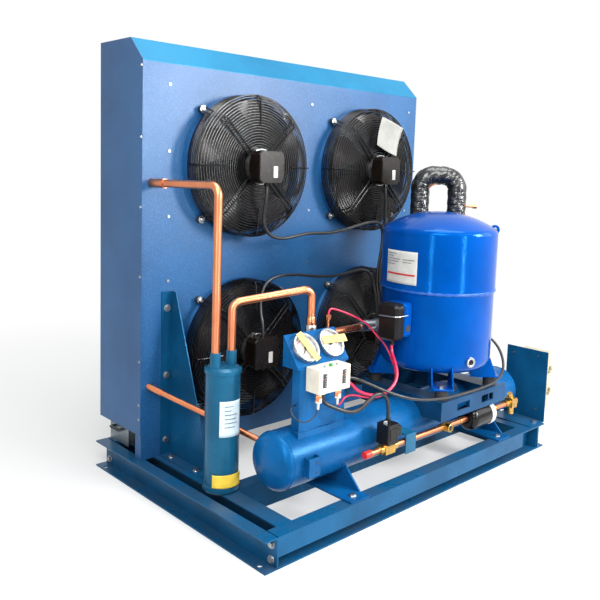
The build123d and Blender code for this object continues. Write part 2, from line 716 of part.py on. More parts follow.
def compressor_shell():
    """Two-piece welded shell with dished ends, four feet and lifting lugs."""
    seam = 3.0
    flat = 0.62 * COMP_R
    low = COMP_BOTTOM
    knuckle = (COMP_R - COMP_KNUCKLE / 2, COMP_SHOULDER + COMP_KNUCKLE * sqrt(0.75))
    rise = COMP_TOP - knuckle[1]
    crown_r = (knuckle[0] ** 2 + rise ** 2) / (2 * rise)
    crown = (knuckle[0] / 2, COMP_TOP - crown_r + sqrt(crown_r ** 2 - (knuckle[0] / 2) ** 2))
    base_edge = (0.86 * COMP_R, low + 0.18 * (COMP_SEAM - low))
    half = (
        Line((0, COMP_TOP), (0, low))
        + Line((0, low), (flat, low))
        + Line((flat, low), base_edge)
        + Line(base_edge, (COMP_R - seam, low + 0.35 * (COMP_SEAM - low)))
        + Line((COMP_R - seam, low + 0.35 * (COMP_SEAM - low)), (COMP_R - seam, COMP_SEAM - 6))
        + Line((COMP_R - seam, COMP_SEAM - 6), (COMP_R + seam, COMP_SEAM))
        + Line((COMP_R + seam, COMP_SEAM), (COMP_R, COMP_SEAM + 6))
        + Line((COMP_R, COMP_SEAM + 6), (COMP_R, COMP_SHOULDER))
        + TangentArc((COMP_R, COMP_SHOULDER), knuckle, tangent=(0, 1))
        + ThreePointArc(knuckle, crown, (0, COMP_TOP))
    )
    face = Plane.XZ * make_face(half)
    shell = revolve(face, Axis.Z)
    spuds = (
        (SUCTION_ANGLE, SUCTION_PORT_Z, SUCTION_R + 5, PORT_REACH),
        (DISCHARGE_ANGLE, DISCHARGE_Z, HOT_R + 6, PORT_REACH),
        (SIGHT_GLASS_ANGLE, SIGHT_GLASS_Z, SIGHT_GLASS_R + 2, SIGHT_GLASS_REACH),
    )
    for angle, height, radius, reach in spuds:
        way = (cos(radians(angle)), sin(radians(angle)), 0)
        inside = (way[0] * COMP_R / 2, way[1] * COMP_R / 2, height)
        shell += rod(radius, reach - COMP_R / 2, inside, way)
    inner = COMP_R - seam - SHELL_WALL
    shell -= rod(inner, COMP_SHOULDER - low - 60, (0, 0, low + 56), (0, 0, 1))
    for x, y in foot_spots():
        shell += foot_bracket(x - COMP_X, y - COMP_Y)
    for angle in (-25, 155):
        lug = slab((0.72 * COMP_R, 0.92 * COMP_R), (-4, 4), (COMP_SHOULDER, COMP_TOP - 2))
        lug -= rod(8, 12, (0.82 * COMP_R, -6, COMP_TOP - 16), (0, 1, 0))
        shell += Rot(0, 0, angle) * lug
    save("compressor_shell", Pos(COMP_X, COMP_Y, 0) * shell)


def foot_bracket(x, y):
    """A U-shaped foot: a plate on the grommet and two cheeks up to the shell."""
    reach = sqrt(x * x + y * y)
    z = COMP_FOOT_Z
    half = FOOT_PLATE_W / 2
    inner = 0.56 * COMP_R
    foot = slab((inner, reach), (-half, half), (z, z + FOOT_PLATE_T))
    foot += rod(half, FOOT_PLATE_T, (reach, 0, z), (0, 0, 1))
    cheek = [(inner, z), (reach, z), (reach + 6, z + 30), (COMP_R - 6, COMP_BOTTOM + 50),
             (inner, COMP_BOTTOM + 12)]
    for side in (-1, 1):
        shift = -side * half - (side - 1) * FOOT_PLATE_T / 2 - FOOT_PLATE_T / 2
        face = profile_face(cheek, Plane.XZ.offset(shift))
        foot += extrude(face, FOOT_PLATE_T / 2, both=True)
    foot -= rod(FOOT_HOLE_R, 4 * FOOT_PLATE_T, (reach, 0, z - FOOT_PLATE_T), (0, 0, 1))
    turn = degrees(asin(y / reach)) if x > 0 else 180 - degrees(asin(y / reach))
    return Rot(0, 0, turn) * foot


def compressor_parts():
    """Grommets, terminal box and oil sight glass."""
    grommets = []
    for x, y in foot_spots():
        ring = rod(GROMMET_R, COMP_FOOT_Z - CRADLE_TOP, (x, y, CRADLE_TOP), (0, 0, 1))
        ring -= rod(FOOT_SHANK_R + SEAT, 2 * COMP_FOOT_Z, (x, y, CRADLE_TOP - 5), (0, 0, 1))
        grommets.append(ring)
    save("compressor_grommets", *grommets)

    x_shell = COMP_X - COMP_R
    box_x = (x_shell - TERM_D, x_shell + 18)
    box_y = (COMP_Y - TERM_W / 2, COMP_Y + TERM_W / 2)
    box = slab(box_x, box_y, (TERM_Z, TERM_Z + TERM_H))
    box = fillet(box.edges().filter_by(Axis.Z).group_by(Axis.X)[0], 8)
    lid_x = (box_x[0] + 14, box_x[0] + 18)
    groove = slab(lid_x, (box_y[0] - 1, box_y[0] + 2), (TERM_Z - 1, TERM_Z + TERM_H + 1))
    box -= groove
    box += rod(10, 16, (box_x[0] + TERM_D / 2, box_y[0] + TERM_W / 2, TERM_Z), (0, 0, -1))
    box -= rod(COMP_R - 3 + SEAT, TERM_H + 40, (COMP_X, COMP_Y, TERM_Z - 20), (0, 0, 1))
    save("terminal_box", box)

    angle = radians(SIGHT_GLASS_ANGLE)
    way = (cos(angle), sin(angle), 0)
    start = (COMP_X + SIGHT_GLASS_REACH * way[0], COMP_Y + SIGHT_GLASS_REACH * way[1], SIGHT_GLASS_Z)
    glass = rod(SIGHT_GLASS_R, SIGHT_GLASS_L, start, way)
    recess = tuple(Vector(*start) + SIGHT_GLASS_L / 2 * Vector(*way))
    glass -= rod(0.6 * SIGHT_GLASS_R, SIGHT_GLASS_L, recess, way)
    save("oil_sight_glass", glass)


def service_valve(way, height, radius, outlet):
    """A shut-off valve on a shell port: nut, body block, outlet sleeve and open stem bore."""
    flat = (way[0], way[1], 0)
    start = (PORT_REACH + SEAT) * Vector(*flat)
    origin = Vector(COMP_X, COMP_Y, height) + start
    valve = hexagon(radius + 10, NUT_L, tuple(origin), flat)
    block = origin + NUT_L * Vector(*flat)
    body = Plane(origin=tuple(block), z_dir=flat) * Cylinder(
        radius + 6, VALVE_L, align=(Align.CENTER, Align.CENTER, Align.MIN))
    valve += body
    middle = block + VALVE_L / 2 * Vector(*flat)
    valve += rod(radius + 3, VALVE_L, tuple(middle), outlet)
    tail = block + VALVE_L * Vector(*flat)
    valve -= rod(STEM_R + STEM_CLEARANCE, STEM_L + 20, tuple(tail - STEM_L * Vector(*flat)), flat)
    return valve, tail, middle


def valve_stem(tail, way):
    """A square-ended stem that turns in its valve's bore."""
    start = tail - (STEM_L - 1) * Vector(*way)
    stem = rod(STEM_R, STEM_L + 4, tuple(start), way)
    tip = start + (STEM_L + 4) * Vector(*way)
    square = Box(6, 6, 8, align=(Align.CENTER, Align.CENTER, Align.MIN))
    return stem + Plane(origin=tuple(tip), z_dir=way) * square


def compressor_valves():
    """Suction and discharge service valves, their stems and the pipes they feed."""
    suction_way = (cos(radians(SUCTION_ANGLE)), sin(radians(SUCTION_ANGLE)), 0)
    valve, tail, middle = service_valve(suction_way, SUCTION_PORT_Z, SUCTION_R, (0, 0, 1))
    save("suction_valve", valve)
    save("suction_valve_stem", valve_stem(tail, suction_way))
    far_way = (cos(radians(SUCTION_FAR_ANGLE)), sin(radians(SUCTION_FAR_ANGLE)))
    reach = (middle - Vector(COMP_X, COMP_Y, SUCTION_PORT_Z)).length
    foot = (COMP_X + reach * far_way[0], COMP_Y + reach * far_way[1])
    start_z = SUCTION_PORT_Z + VALVE_L + SEAT
    points = [
        (middle.X, middle.Y, start_z), (middle.X, middle.Y, SUCTION_ARCH_Z),
        (foot[0], foot[1], SUCTION_ARCH_Z), (foot[0], foot[1], SUCTION_END_Z + SUCTION_BARE),
    ]
    pipe = tube(points, SUCTION_R, SUCTION_BEND)
    pipe += rod(SUCTION_R, SUCTION_BARE, (foot[0], foot[1], SUCTION_END_Z), (0, 0, 1))
    pipe -= rod(SUCTION_R - PIPE_WALL, 60, (foot[0], foot[1], SUCTION_END_Z - 1), (0, 0, 1))
    port_z = SUCTION_SERVICE_Z
    pipe += rod(4, INSULATION_R + 12, (middle.X, middle.Y, port_z), SERVICE_WAY)
    port_end = Vector(middle.X, middle.Y, port_z) + (INSULATION_R + 12) * Vector(*SERVICE_WAY)
    pipe += hexagon(8, 14, tuple(port_end), SERVICE_WAY)
    save("suction_pipe", pipe)
    sleeve_points = [
        (middle.X, middle.Y, start_z + 4), (middle.X, middle.Y, SUCTION_ARCH_Z),
        (foot[0], foot[1], SUCTION_ARCH_Z), (foot[0], foot[1], SUCTION_END_Z + SUCTION_BARE),
    ]
    sleeve = tube(sleeve_points, INSULATION_R, SUCTION_BEND)
    sleeve -= tube(points, SUCTION_R + SEAT, SUCTION_BEND)
    sleeve -= rod(4 + SEAT, INSULATION_R + 20, (middle.X, middle.Y, port_z), SERVICE_WAY)
    save("suction_insulation", sleeve)

    discharge_way = (cos(radians(DISCHARGE_ANGLE)), sin(radians(DISCHARGE_ANGLE)), 0)
    valve, tail, middle = service_valve(discharge_way, DISCHARGE_Z, HOT_R, (-1, 0, 0))
    save("discharge_valve", valve)
    save("discharge_valve_stem", valve_stem(tail, discharge_way))
    return middle


# ================================================================= hot gas side
def oil_separator():
    """An upright vessel with rolled rims, two ports on top and a foot stud."""
    rim = 3.0
    low = RAIL_H
    outline = [
        (0, low), (SEP_R - 4, low), (SEP_R, low + 6), (SEP_R, low + 16), (SEP_R - rim, low + 18),
        (SEP_R - rim, SEP_TOP - 18), (SEP_R, SEP_TOP - 16), (SEP_R, SEP_TOP - 6),
        (SEP_R - 10, SEP_TOP), (0, SEP_TOP),
    ]
    vessel = revolve(profile_face(outline, Plane.XZ), Axis.Z)
    vessel -= rod(SEP_R - rim - 3, SEP_TOP - low - 60, (0, 0, low + 30), (0, 0, 1))
    for side in (-1, 1):
        vessel += rod(HOT_R + 3, SEP_PORT_TOP - SEP_TOP + 4, (side * SEP_PORT, 0, SEP_TOP - 4), (0, 0, 1))
        vessel -= rod(HOT_R + SEAT, 40, (side * SEP_PORT, 0, SEP_TOP + 8), (0, 0, 1))
    save("oil_separator", Pos(SEP_X, SEP_Y, 0) * vessel)


def behind_panel():
    """Everything behind the fan panel's front face, to trim slanting pipes square to it."""
    return slab((LEFT - 50, LEFT + 100), (CAB_Y - SEAT, CAB_Y + 50), (RAIL_H, CAB_TOP))


def hot_gas_pipes(valve_middle):
    """Discharge line, vibration absorber, separator and condenser inlet pipes."""
    port_z = SEP_TOP + 8 + SEAT
    inlet = [
        (LEFT + INLET_X, CAB_Y + HOT_R, INLET_Z), (SEP_X - SEP_PORT, SEP_Y, INLET_Z + 4),
        (SEP_X - SEP_PORT, SEP_Y, port_z),
    ]
    save("condenser_inlet_pipe", tube(inlet, HOT_R, 2.6 * HOT_R) - behind_panel())

    upper = [
        (SEP_X + SEP_PORT, SEP_Y, port_z), (SEP_X + SEP_PORT, SEP_Y, CROSSOVER_Z),
        (RISER_X, RISER_Y, CROSSOVER_Z + 24), (RISER_X, RISER_Y, ABSORBER_Z[1] + COUPLING_L + SEAT),
    ]
    pipe_y = valve_middle.Y
    sleeve_x = valve_middle.X - VALVE_L - SEAT
    lower = [
        (sleeve_x, pipe_y, DISCHARGE_Z), (RISER_X + U_WIDTH, pipe_y, DISCHARGE_Z),
        (RISER_X + U_WIDTH, RISER_Y, ABSORBER_Z[0] - COUPLING_L - 40),
        (RISER_X, RISER_Y, ABSORBER_Z[0] - COUPLING_L - 40),
        (RISER_X, RISER_Y, ABSORBER_Z[0] - COUPLING_L - SEAT),
    ]
    bend = U_WIDTH * 0.45
    lower_pipe = tube(lower, HOT_R, bend)
    tee_x = RISER_X + TEE_X
    lower_pipe += rod(4, TEE_H, (tee_x, pipe_y, DISCHARGE_Z), (0, 0, 1))
    lower_pipe += hexagon(8, 14, (tee_x, pipe_y, DISCHARGE_Z + TEE_H), (0, 0, 1))
    save("discharge_pipes", tube(upper, HOT_R, 2.2 * HOT_R), lower_pipe)

    length = ABSORBER_Z[1] - ABSORBER_Z[0]
    absorber = rod(HOT_R + 5, length, (RISER_X, RISER_Y, ABSORBER_Z[0]), (0, 0, 1))
    for z in (ABSORBER_Z[0] - COUPLING_L, ABSORBER_Z[1]):
        absorber += rod(HOT_R + 2, COUPLING_L, (RISER_X, RISER_Y, z), (0, 0, 1))
    save("vibration_absorber", absorber)


def condenser_outlet():
    """Slanting copper pipe from the fan panel to a socket on the receiver's back."""
    start = Vector(LEFT + OUTLET_X, CAB_Y, OUTLET_Z)
    end = Vector(LEFT + OUTLET_END[0], FRONT + OUTLET_END[1], OUTLET_END[2])
    way = (end - start).normalized()
    pipe = rod(LIQUID_R, (end - start).length + LIQUID_R, tuple(start - LIQUID_R * way), tuple(way))
    keep_out = rod(REC_R + SEAT, 300, (end.X - 150, REC_Y, REC_Z), (1, 0, 0))
    collar = rod(LIQUID_R + 3, SOCKET_L, tuple(end - SOCKET_L * way), tuple(way))
    pipe = (pipe + collar) - keep_out - behind_panel()
    save("condenser_outlet_pipe", pipe)


# ================================================================= liquid line
def liquid_line():
    """Receiver valve, drier, sight glass, solenoid valve and outlet cap, left of one another."""
    x = LEFT + REC_VALVE_X
    y = LINE_Y
    z = LINE_Z
    front = REC_Y - REC_R
    body = slab((x - 15, x + 15), (y - 14, y + 14), (z - 16, z + 16))
    body = fillet(body.edges().filter_by(Axis.Y), 5)
    depth = front - (y + 14) - SEAT
    tank_space = rod(REC_R + SEAT, 80, (x - 40, REC_Y, REC_Z), (1, 0, 0))
    body += rod(12, depth + 6, (x, y + 8, z), (0, 1, 0)) - tank_space
    body += rod(10, 22, (x, y, z - 16), (0, 0, -1))
    body += rod(9, 20, (x - 2, y, z + 14), (-0.5, 0, 0.86))
    body += rod(10, 26, (x - 13, y, z), (-1, 0, 0))
    body += hexagon(12, 10, (x + 15, y, z), (1, 0, 0))
    tail = Vector(x + 25, y, z)
    body -= rod(STEM_R + STEM_CLEARANCE, STEM_L, tuple(tail - STEM_L * Vector(1, 0, 0)), (1, 0, 0))
    save("receiver_valve", body)
    save("receiver_valve_stem", valve_stem(tail, (1, 0, 0)))

    drier_x = (LEFT + DRIER_X[0], LEFT + DRIER_X[1])
    length = drier_x[1] - drier_x[0]
    neck = 22.0
    shoulder = 14.0
    outline = [
        (0, 0), (length, 0), (length, LIQUID_R + 3), (length - neck, LIQUID_R + 3),
        (length - neck - shoulder, DRIER_R), (neck + shoulder, DRIER_R), (neck, LIQUID_R + 3),
        (0, LIQUID_R + 3),
    ]
    drier = revolve(make_face(Polyline(*outline, close=True)), Axis.X)
    save("filter_drier", Pos(drier_x[0], y, z) * drier)

    sight_x = LEFT + SIGHT_X
    sight = hexagon(14, SIGHT_W, (sight_x, y, z), (1, 0, 0))
    sight += rod(12, 14, (sight_x + SIGHT_W / 2, y - 8, z), (0, -1, 0))
    save("liquid_sight_glass", sight)

    sol_x = LEFT + SOLENOID_X
    sol = slab((sol_x - 20, sol_x + 20), (y - 14, y + 14), (z - 14, z + 14))
    sol += rod(13, SOLENOID_HALF - 18, (sol_x + 18, y, z), (1, 0, 0))
    sol += rod(13, SOLENOID_HALF - 18, (sol_x - 18, y, z), (-1, 0, 0))
    sol += rod(8, COIL_BASE, (sol_x, y, z + 12), (0, 0, 1))
    save("solenoid_valve", sol)
    coil_z = z + 14 + SEAT
    half = COIL_W / 2
    coil = slab((sol_x - half, sol_x + half), (y - half, y + half), (coil_z, coil_z + COIL_H))
    coil = fillet(coil.edges().filter_by(Axis.Z), 4)
    coil -= rod(8 + SEAT, COIL_BASE, (sol_x, y, coil_z - 1), (0, 0, 1))
    coil += rod(CABLE_R + 3, GLAND_L, (sol_x, y, coil_z + COIL_H), (0, 0, 1))
    save("solenoid_coil", coil)

    joints = [
        (LEFT + CAP_X + CAP_L, sol_x - SOLENOID_HALF),
        (sol_x + SOLENOID_HALF, sight_x),
        (sight_x + SIGHT_W, drier_x[0]),
        (drier_x[1], x - 39),
    ]
    pipes = [rod(LIQUID_R, b - a - 2 * SEAT, (a + SEAT, y, z), (1, 0, 0)) for a, b in joints]
    save("liquid_pipes", *pipes)
    cap = rod(LIQUID_R + 2, CAP_L, (LEFT + CAP_X, y, z), (1, 0, 0))
    save("liquid_outlet_cap", cap)

    bracket_x = LEFT + BRACKET_X
    plate = slab((bracket_x, bracket_x + BRACKET_W), (y - LIQUID_R - 3, y - LIQUID_R), (z - 34, z + 22))
    plate += slab((bracket_x, bracket_x + BRACKET_W), (y - LIQUID_R - 3, front + 12), (z + 19, z + 22))
    plate -= rod(REC_R + SEAT, 80, (bracket_x - 10, REC_Y, REC_Z), (1, 0, 0))
    save("pipe_bracket", plate)


# ================================================================= gauges and pressure switch
def gauge_panel():
    """Folded column on the receiver with a sloping head that holds two gauges."""
    x = (LEFT + COLUMN_X[0], LEFT + COLUMN_X[1])
    y = (COLUMN_Y, COLUMN_Y + COLUMN_D)
    base_z = REC_Z + REC_R
    column = slab(x, y, (base_z, PANEL_FOOT_Z))
    inside_x = (x[0] + COLUMN_SHEET, x[1] - COLUMN_SHEET)
    column -= slab(inside_x, (y[0] + COLUMN_SHEET, y[1] + 1), (base_z - 1, PANEL_FOOT_Z))
    pad = slab((x[0] - 8, x[1] + 8), (y[0] - 8, REC_Y + 4), (REC_Z, base_z))
    pad -= rod(REC_R + SEAT, 2 * PANEL_W, (x[0] - PANEL_W / 2, REC_Y, REC_Z), (1, 0, 0))
    column += pad
    head_x0 = (x[0] + x[1] - PANEL_W) / 2
    t = COLUMN_SHEET
    head = [
        (y[0], PANEL_FOOT_Z), (y[0] + PANEL_RUN, PANEL_FOOT_Z + PANEL_RISE),
        (y[0] + PANEL_RUN, PANEL_FOOT_Z - 6), (y[0], PANEL_FOOT_Z - 6),
    ]
    wedge = extrude(profile_face(head, Plane.YZ.offset(head_x0)), PANEL_W)
    inside = [
        (y[0] + t, PANEL_FOOT_Z - 7), (y[0] + t, PANEL_FOOT_Z),
        (y[0] + PANEL_RUN + 1, PANEL_FOOT_Z + PANEL_RISE - t),
        (y[0] + PANEL_RUN + 1, PANEL_FOOT_Z - 7),
    ]
    wedge -= extrude(profile_face(inside, Plane.YZ.offset(head_x0 + t)), PANEL_W - 2 * t)
    column += wedge
    save("gauge_panel", column)

    slope = sqrt(PANEL_RUN ** 2 + PANEL_RISE ** 2)
    up = Vector(0, PANEL_RUN / slope, PANEL_RISE / slope)
    out = Vector(0, -PANEL_RISE / slope, PANEL_RUN / slope)
    middle = Vector((x[0] + x[1]) / 2, y[0], PANEL_FOOT_Z) + slope / 2 * up
    gauges = []
    for side, name in ((-1, "low"), (1, "high")):
        origin = middle + Vector(side * GAUGE_PITCH / 2, 0, 0) + SEAT * out
        face = Plane(origin=tuple(origin), x_dir=(1, 0, 0), z_dir=tuple(out))
        case = rod(GAUGE_R, GAUGE_D, (0, 0, 0), (0, 0, 1))
        case -= rod(GAUGE_R - 5, GAUGE_D, (0, 0, 3), (0, 0, 1))
        case += rod(NEEDLE_POST_R, NEEDLE_Z + 0.7, (0, 0, 0), (0, 0, 1))
        gauges.append(face * case)
        needle = rod(5, 2, (0, 0, NEEDLE_Z), (0, 0, 1))
        needle += slab((-1, 1), (-NEEDLE_LEN, NEEDLE_LEN / 3), (NEEDLE_Z + 0.5, NEEDLE_Z + 1.5))
        needle -= rod(NEEDLE_POST_R + STEM_CLEARANCE, 1.2, (0, 0, NEEDLE_Z - 0.2), (0, 0, 1))
        save(f"gauge_needle_{name}", face * Rot(0, 0, -45) * needle)
    save("pressure_gauges", *gauges)


def pressure_switch():
    """Dual pressure switch with two flare nuts, a reset button and two spindles."""
    x = (LEFT + SWITCH_X, LEFT + SWITCH_X + SWITCH_W)
    y = (COLUMN_Y - SWITCH_D, COLUMN_Y - SEAT)
    z = (SWITCH_Z, SWITCH_Z + SWITCH_H)
    box = slab(x, y, z)
    box = fillet(box.edges().filter_by(Axis.Z), 3)
    for wx in (x[0] + 20, x[1] - 24):
        box -= slab((wx - 8, wx + 8), (y[0] - 1, y[0] + 1.5), (z[0] + 14, z[1] - 10))
    nuts = (x[0] + 14, x[1] - 30)
    for nx in nuts:
        box += rod(5, 14, (nx, y[0] + 16, z[0]), (0, 0, -1))
        box += hexagon(9, 12, (nx, y[0] + 16, z[0] - 14), (0, 0, -1))
    spindles = (x[0] + 34, x[1] - 34)
    tops = (y[0] + 18, z[1])
    for sx in spindles:
        box -= rod(3 + STEM_CLEARANCE, 20, (sx, tops[0], z[1] - 16), (0, 0, 1))
    button_x = (x[0] + x[1]) / 2
    box -= rod(5 + SEAT, 20, (button_x, tops[0], z[1] - 12), (0, 0, 1))
    box += rod(CABLE_R + 4, GLAND_L, ((x[0] + x[1]) / 2 - 14, y[1] - 20, z[0]), (0, 0, -1))
    save("pressure_switch", box)
    for sx, name in zip(spindles, ("low", "high")):
        spindle = rod(3, 19, (sx, tops[0], z[1] - 15.5), (0, 0, 1))
        spindle -= slab((sx - 4, sx + 4), (tops[0] - 0.6, tops[0] + 0.6), (z[1] + 2, z[1] + 4))
        save(f"switch_spindle_{name}", spindle)
    save("switch_reset_button", rod(5, 14, (button_x, tops[0], z[1] - 8), (0, 0, 1)))


# ================================================================= electric plate
def electric_plate():
    """Upright sheet on the base's end with a shallow plastic box and its hinged lid."""
    y = (FRONT + PLATE_Y[0], FRONT + PLATE_Y[1])
    plate = slab((PLATE_X, PLATE_X + PLATE_T), y, (RAIL_H, PLATE_TOP))
    plate += slab((PLATE_X - PLATE_FOOT, PLATE_X), y, (RAIL_H, RAIL_H + PLATE_T))
    save("electric_plate", plate)
    face = PLATE_X + PLATE_T + SEAT
    box_y = (FRONT + EBOX_Y[0], FRONT + EBOX_Y[1])
    box = slab((face, face + EBOX_D), box_y, EBOX_Z)
    wall = 3.0
    inner_y = (box_y[0] + wall, box_y[1] - wall)
    box -= slab((face + wall, face + EBOX_D + 1), inner_y, (EBOX_Z[0] + wall, EBOX_Z[1] - wall))
    pin_x = face + EBOX_D + LID_T / 2 + SEAT
    pin_y = box_y[0] - KNUCKLE_R
    for z in KNUCKLE_Z:
        ear = slab((face + EBOX_D - 8, pin_x), (pin_y - KNUCKLE_R + 1, box_y[0]), (z - 12, z - 4))
        box += ear + rod(KNUCKLE_R, 8, (pin_x, pin_y, z - 12), (0, 0, 1))
        box += rod(HINGE_PIN_R, 14, (pin_x, pin_y, z - 5), (0, 0, 1))
    save("electric_box", box)
    lid = slab((face + EBOX_D + SEAT, face + EBOX_D + SEAT + LID_T), (box_y[0] + 1, box_y[1]), EBOX_Z)
    for z in KNUCKLE_Z:
        knuckle = rod(KNUCKLE_R, 12, (pin_x, pin_y, z - 3.5), (0, 0, 1))
        knuckle += slab((pin_x - 2, pin_x + 2), (pin_y, box_y[0] + 2), (z - 3.5, z + 8.5))
        lid += knuckle - rod(HINGE_PIN_R + STEM_CLEARANCE, 14, (pin_x, pin_y, z - 4), (0, 0, 1))
    save("electric_box_lid", lid)


# ================================================================= cables and capillaries
def cables():
    """Leads and capillaries, each along its own route and held at both its ends."""
    routes = (UPPER_LEAD, RIGHT_LEAD, LOWER_LEAD, SWITCH_LEAD, HEATER_LEAD, BOX_LEAD)
    save("cables", *[cord("lead", route, LEAD_R) for route in routes])
    save("capillaries", *[cord("capillary", route, CAPILLARY_R) for route in (HIGH_CAPILLARY, LOW_CAPILLARY)])


# ================================================================= fasteners
def fasteners():
    """Every zinc-plated bolt and screw head, with the compressor's four foot bolts."""
    heads = []

    def bolt(spot, way):
        heads.append(hexagon(BOLT_R, BOLT_H, spot, way))

    def screw(spot, way):
        heads.append(hexagon(SCREW_R, SCREW_H, spot, way))

    for side in (-1, 1):
        out = (side, 0, 0)
        for y in (FRONT + CROSS_RAIL_D / 2, BACK - CROSS_RAIL_D / 2):
            for z in RAIL_BOLT_Z:
                bolt((side * (BASE_W / 2 + RAIL_WALL), y, z), out)
        gusset_x = side * (BASE_W / 2 - GUSSET_BOLT_X)
        for y in GUSSET_BOLT_Y:
            bolt((gusset_x, FRONT + y, RAIL_H + GUSSET_T), (0, 0, 1))
        for z in GUSSET_BOLT_Z:
            bolt((gusset_x, CAB_Y - GUSSET_T, z), (0, -1, 0))
        wall_x = CAB_X if side < 0 else CAB_X + CAB_W
        for z in PANEL_SCREW_Z:
            screw((wall_x - side * PANEL_SCREW_X[side], CAB_Y, z), (0, -1, 0))
        for z in SIDE_SCREW_Z:
            screw((wall_x, FRONT + SIDE_SCREW_Y, z), out)
    for z in MIDDLE_SCREW_Z:
        screw((LEFT + MIDDLE_SCREW_X, CAB_Y, z), (0, -1, 0))
    for x in FOOT_X:
        for y in (FOOT_BOLT_Y, MID_RAIL_Y + RAIL_FLANGE / 2):
            bolt((LEFT + x - FOOT_W / 2, FRONT + y, RAIL_H + FOOT_T), (0, 0, 1))
    for y, z in PLATE_SCREWS:
        screw((PLATE_X, FRONT + y, z), (-1, 0, 0))
    bolt((LEFT + PLATE_BOLT[0], FRONT + PLATE_BOLT[1], RAIL_H + PLATE_T), (0, 0, 1))
    for x, y in foot_spots():
        head_z = COMP_FOOT_Z + FOOT_PLATE_T
        head = hexagon(FOOT_BOLT_R, BOLT_H, (x, y, head_z), (0, 0, 1))
        heads.append(head + rod(FOOT_SHANK_R, head_z - CRADLE_TOP, (x, y, CRADLE_TOP), (0, 0, 1)))
    for plane in fan_planes():
        for quarter in range(4):
            foot = polar(FAN_FOOT * sqrt(2), 45 + 90 * quarter)
            spot = (foot[0], foot[1], FOOT_PAD_H + PAD_PLATE_T)
            heads.append(plane * hexagon(SCREW_R, SCREW_H, spot, (0, 0, 1)))
    save("fasteners", *heads)


base_frame()
cabinet_sheets()
fan_panel()
condenser_coil()
save("gusset_plates", gusset(-1), gusset(1))
fans()
receiver()
cradle()
compressor_shell()
compressor_parts()
oil_separator()
hot_gas_pipes(compressor_valves())
condenser_outlet()
liquid_line()
gauge_panel()
pressure_switch()
electric_plate()
cables()
fasteners()
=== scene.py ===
"""Condensing unit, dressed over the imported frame.

The CAD nodes carry the shapes; this script gives them their finishes and adds what solids leave out:
the guards' full set of wires, the taped insulation, the braided hose, the compressor's stamped shell, leads,
dials, lenses, labels, welds, washers and the small plastic parts. Lengths are in metres.
"""

import json
import logging
import math
from dataclasses import dataclass, field
from enum import Enum

import bmesh
import bpy
import numpy as np
from mathutils import Matrix, Vector

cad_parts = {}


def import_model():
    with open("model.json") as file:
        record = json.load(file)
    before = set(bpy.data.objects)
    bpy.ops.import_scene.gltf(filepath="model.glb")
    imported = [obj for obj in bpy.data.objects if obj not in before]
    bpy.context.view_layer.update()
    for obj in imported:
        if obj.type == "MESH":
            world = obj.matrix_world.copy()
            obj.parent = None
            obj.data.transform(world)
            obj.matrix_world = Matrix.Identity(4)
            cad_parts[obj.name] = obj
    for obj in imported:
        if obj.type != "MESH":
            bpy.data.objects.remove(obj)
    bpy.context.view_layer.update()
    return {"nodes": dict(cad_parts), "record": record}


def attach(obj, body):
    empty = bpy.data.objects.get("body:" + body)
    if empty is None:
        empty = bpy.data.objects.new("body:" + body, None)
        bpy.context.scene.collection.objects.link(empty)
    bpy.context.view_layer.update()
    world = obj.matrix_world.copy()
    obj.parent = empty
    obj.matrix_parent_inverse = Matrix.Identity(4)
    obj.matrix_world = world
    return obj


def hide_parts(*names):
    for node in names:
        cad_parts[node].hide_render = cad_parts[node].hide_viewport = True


LOG = logging.getLogger("condensing_unit")

LEFT = -0.594                           # X of the base's left web
FRONT = -0.402                          # Y of the base's front face
PANEL_Y = FRONT + 0.5815                # Y of the fan panel
RECEIVER_Y = FRONT + 0.150              # Y of the receiver's axis
LINE_Y, LINE_Z = FRONT + 0.038, 0.180   # the liquid line's axis
SHELL_AXIS = (0.193, -0.240)            # X and Y of the compressor's axis
RIGHT, UP, AHEAD = (1, 0, 0), (0, 0, 1), (0, -1, 0)
CORNERS = (45, 135, 225, 315)           # degrees of the four feet round a fan or the compressor
BANDS = 314.16                          # scale of a Wave texture whose bands are 1 mm apart
DUST = "#a9b0b0"                        # colour of the dust on upward faces
SHEET = 0.0004                          # thickness of paper and label film
MERGE = 1e-6                            # vertices closer than this are one
SHARP = math.radians(40)                # an edge that turns more than this is drawn sharp
Point = tuple | np.ndarray
Socket = bpy.types.NodeSocket


def srgb(code: str) -> tuple[float, float, float, float]:
    """Turn an sRGB hex colour into linear light.

    Args:
        code: six hex digits after a hash sign.

    Returns:
        Red, green, blue and alpha, linear.
    """
    parts = np.array([int(code[i:i + 2], 16) for i in (1, 3, 5)]) / 255.0
    linear = np.where(parts <= 0.04045, parts / 12.92, ((parts + 0.055) / 1.055) ** 2.4)
    return (*(float(v) for v in linear), 1.0)


def add(tree: bpy.types.NodeTree, kind: str, inputs: dict | None = None, out: int | str = 0,
        **fields: object) -> Socket | None:
    """Add one shader node with its settings and links.

    Args:
        tree: the node tree.
        kind: the node's type name, after ShaderNode.
        inputs: socket name or number to a value, or to the socket that feeds it.
        out: name or number of the output to return.
        fields: attributes to set on the node.

    Returns:
        That output, or None where the node has none.
    """
    node = tree.nodes.new("ShaderNode" + kind)
    for name, value in fields.items():
        setattr(node, name, value)
    for key, value in (inputs or {}).items():
        if isinstance(value, Socket):
            tree.links.new(value, node.inputs[key])
        else:
            node.inputs[key].default_value = value
    return node.outputs[out] if len(node.outputs) else None


def cleared(block: bpy.types.Material | bpy.types.World) -> bpy.types.NodeTree:
    """The empty node tree of a material or a world."""
    block.use_nodes = True
    block.node_tree.nodes.clear()
    return block.node_tree


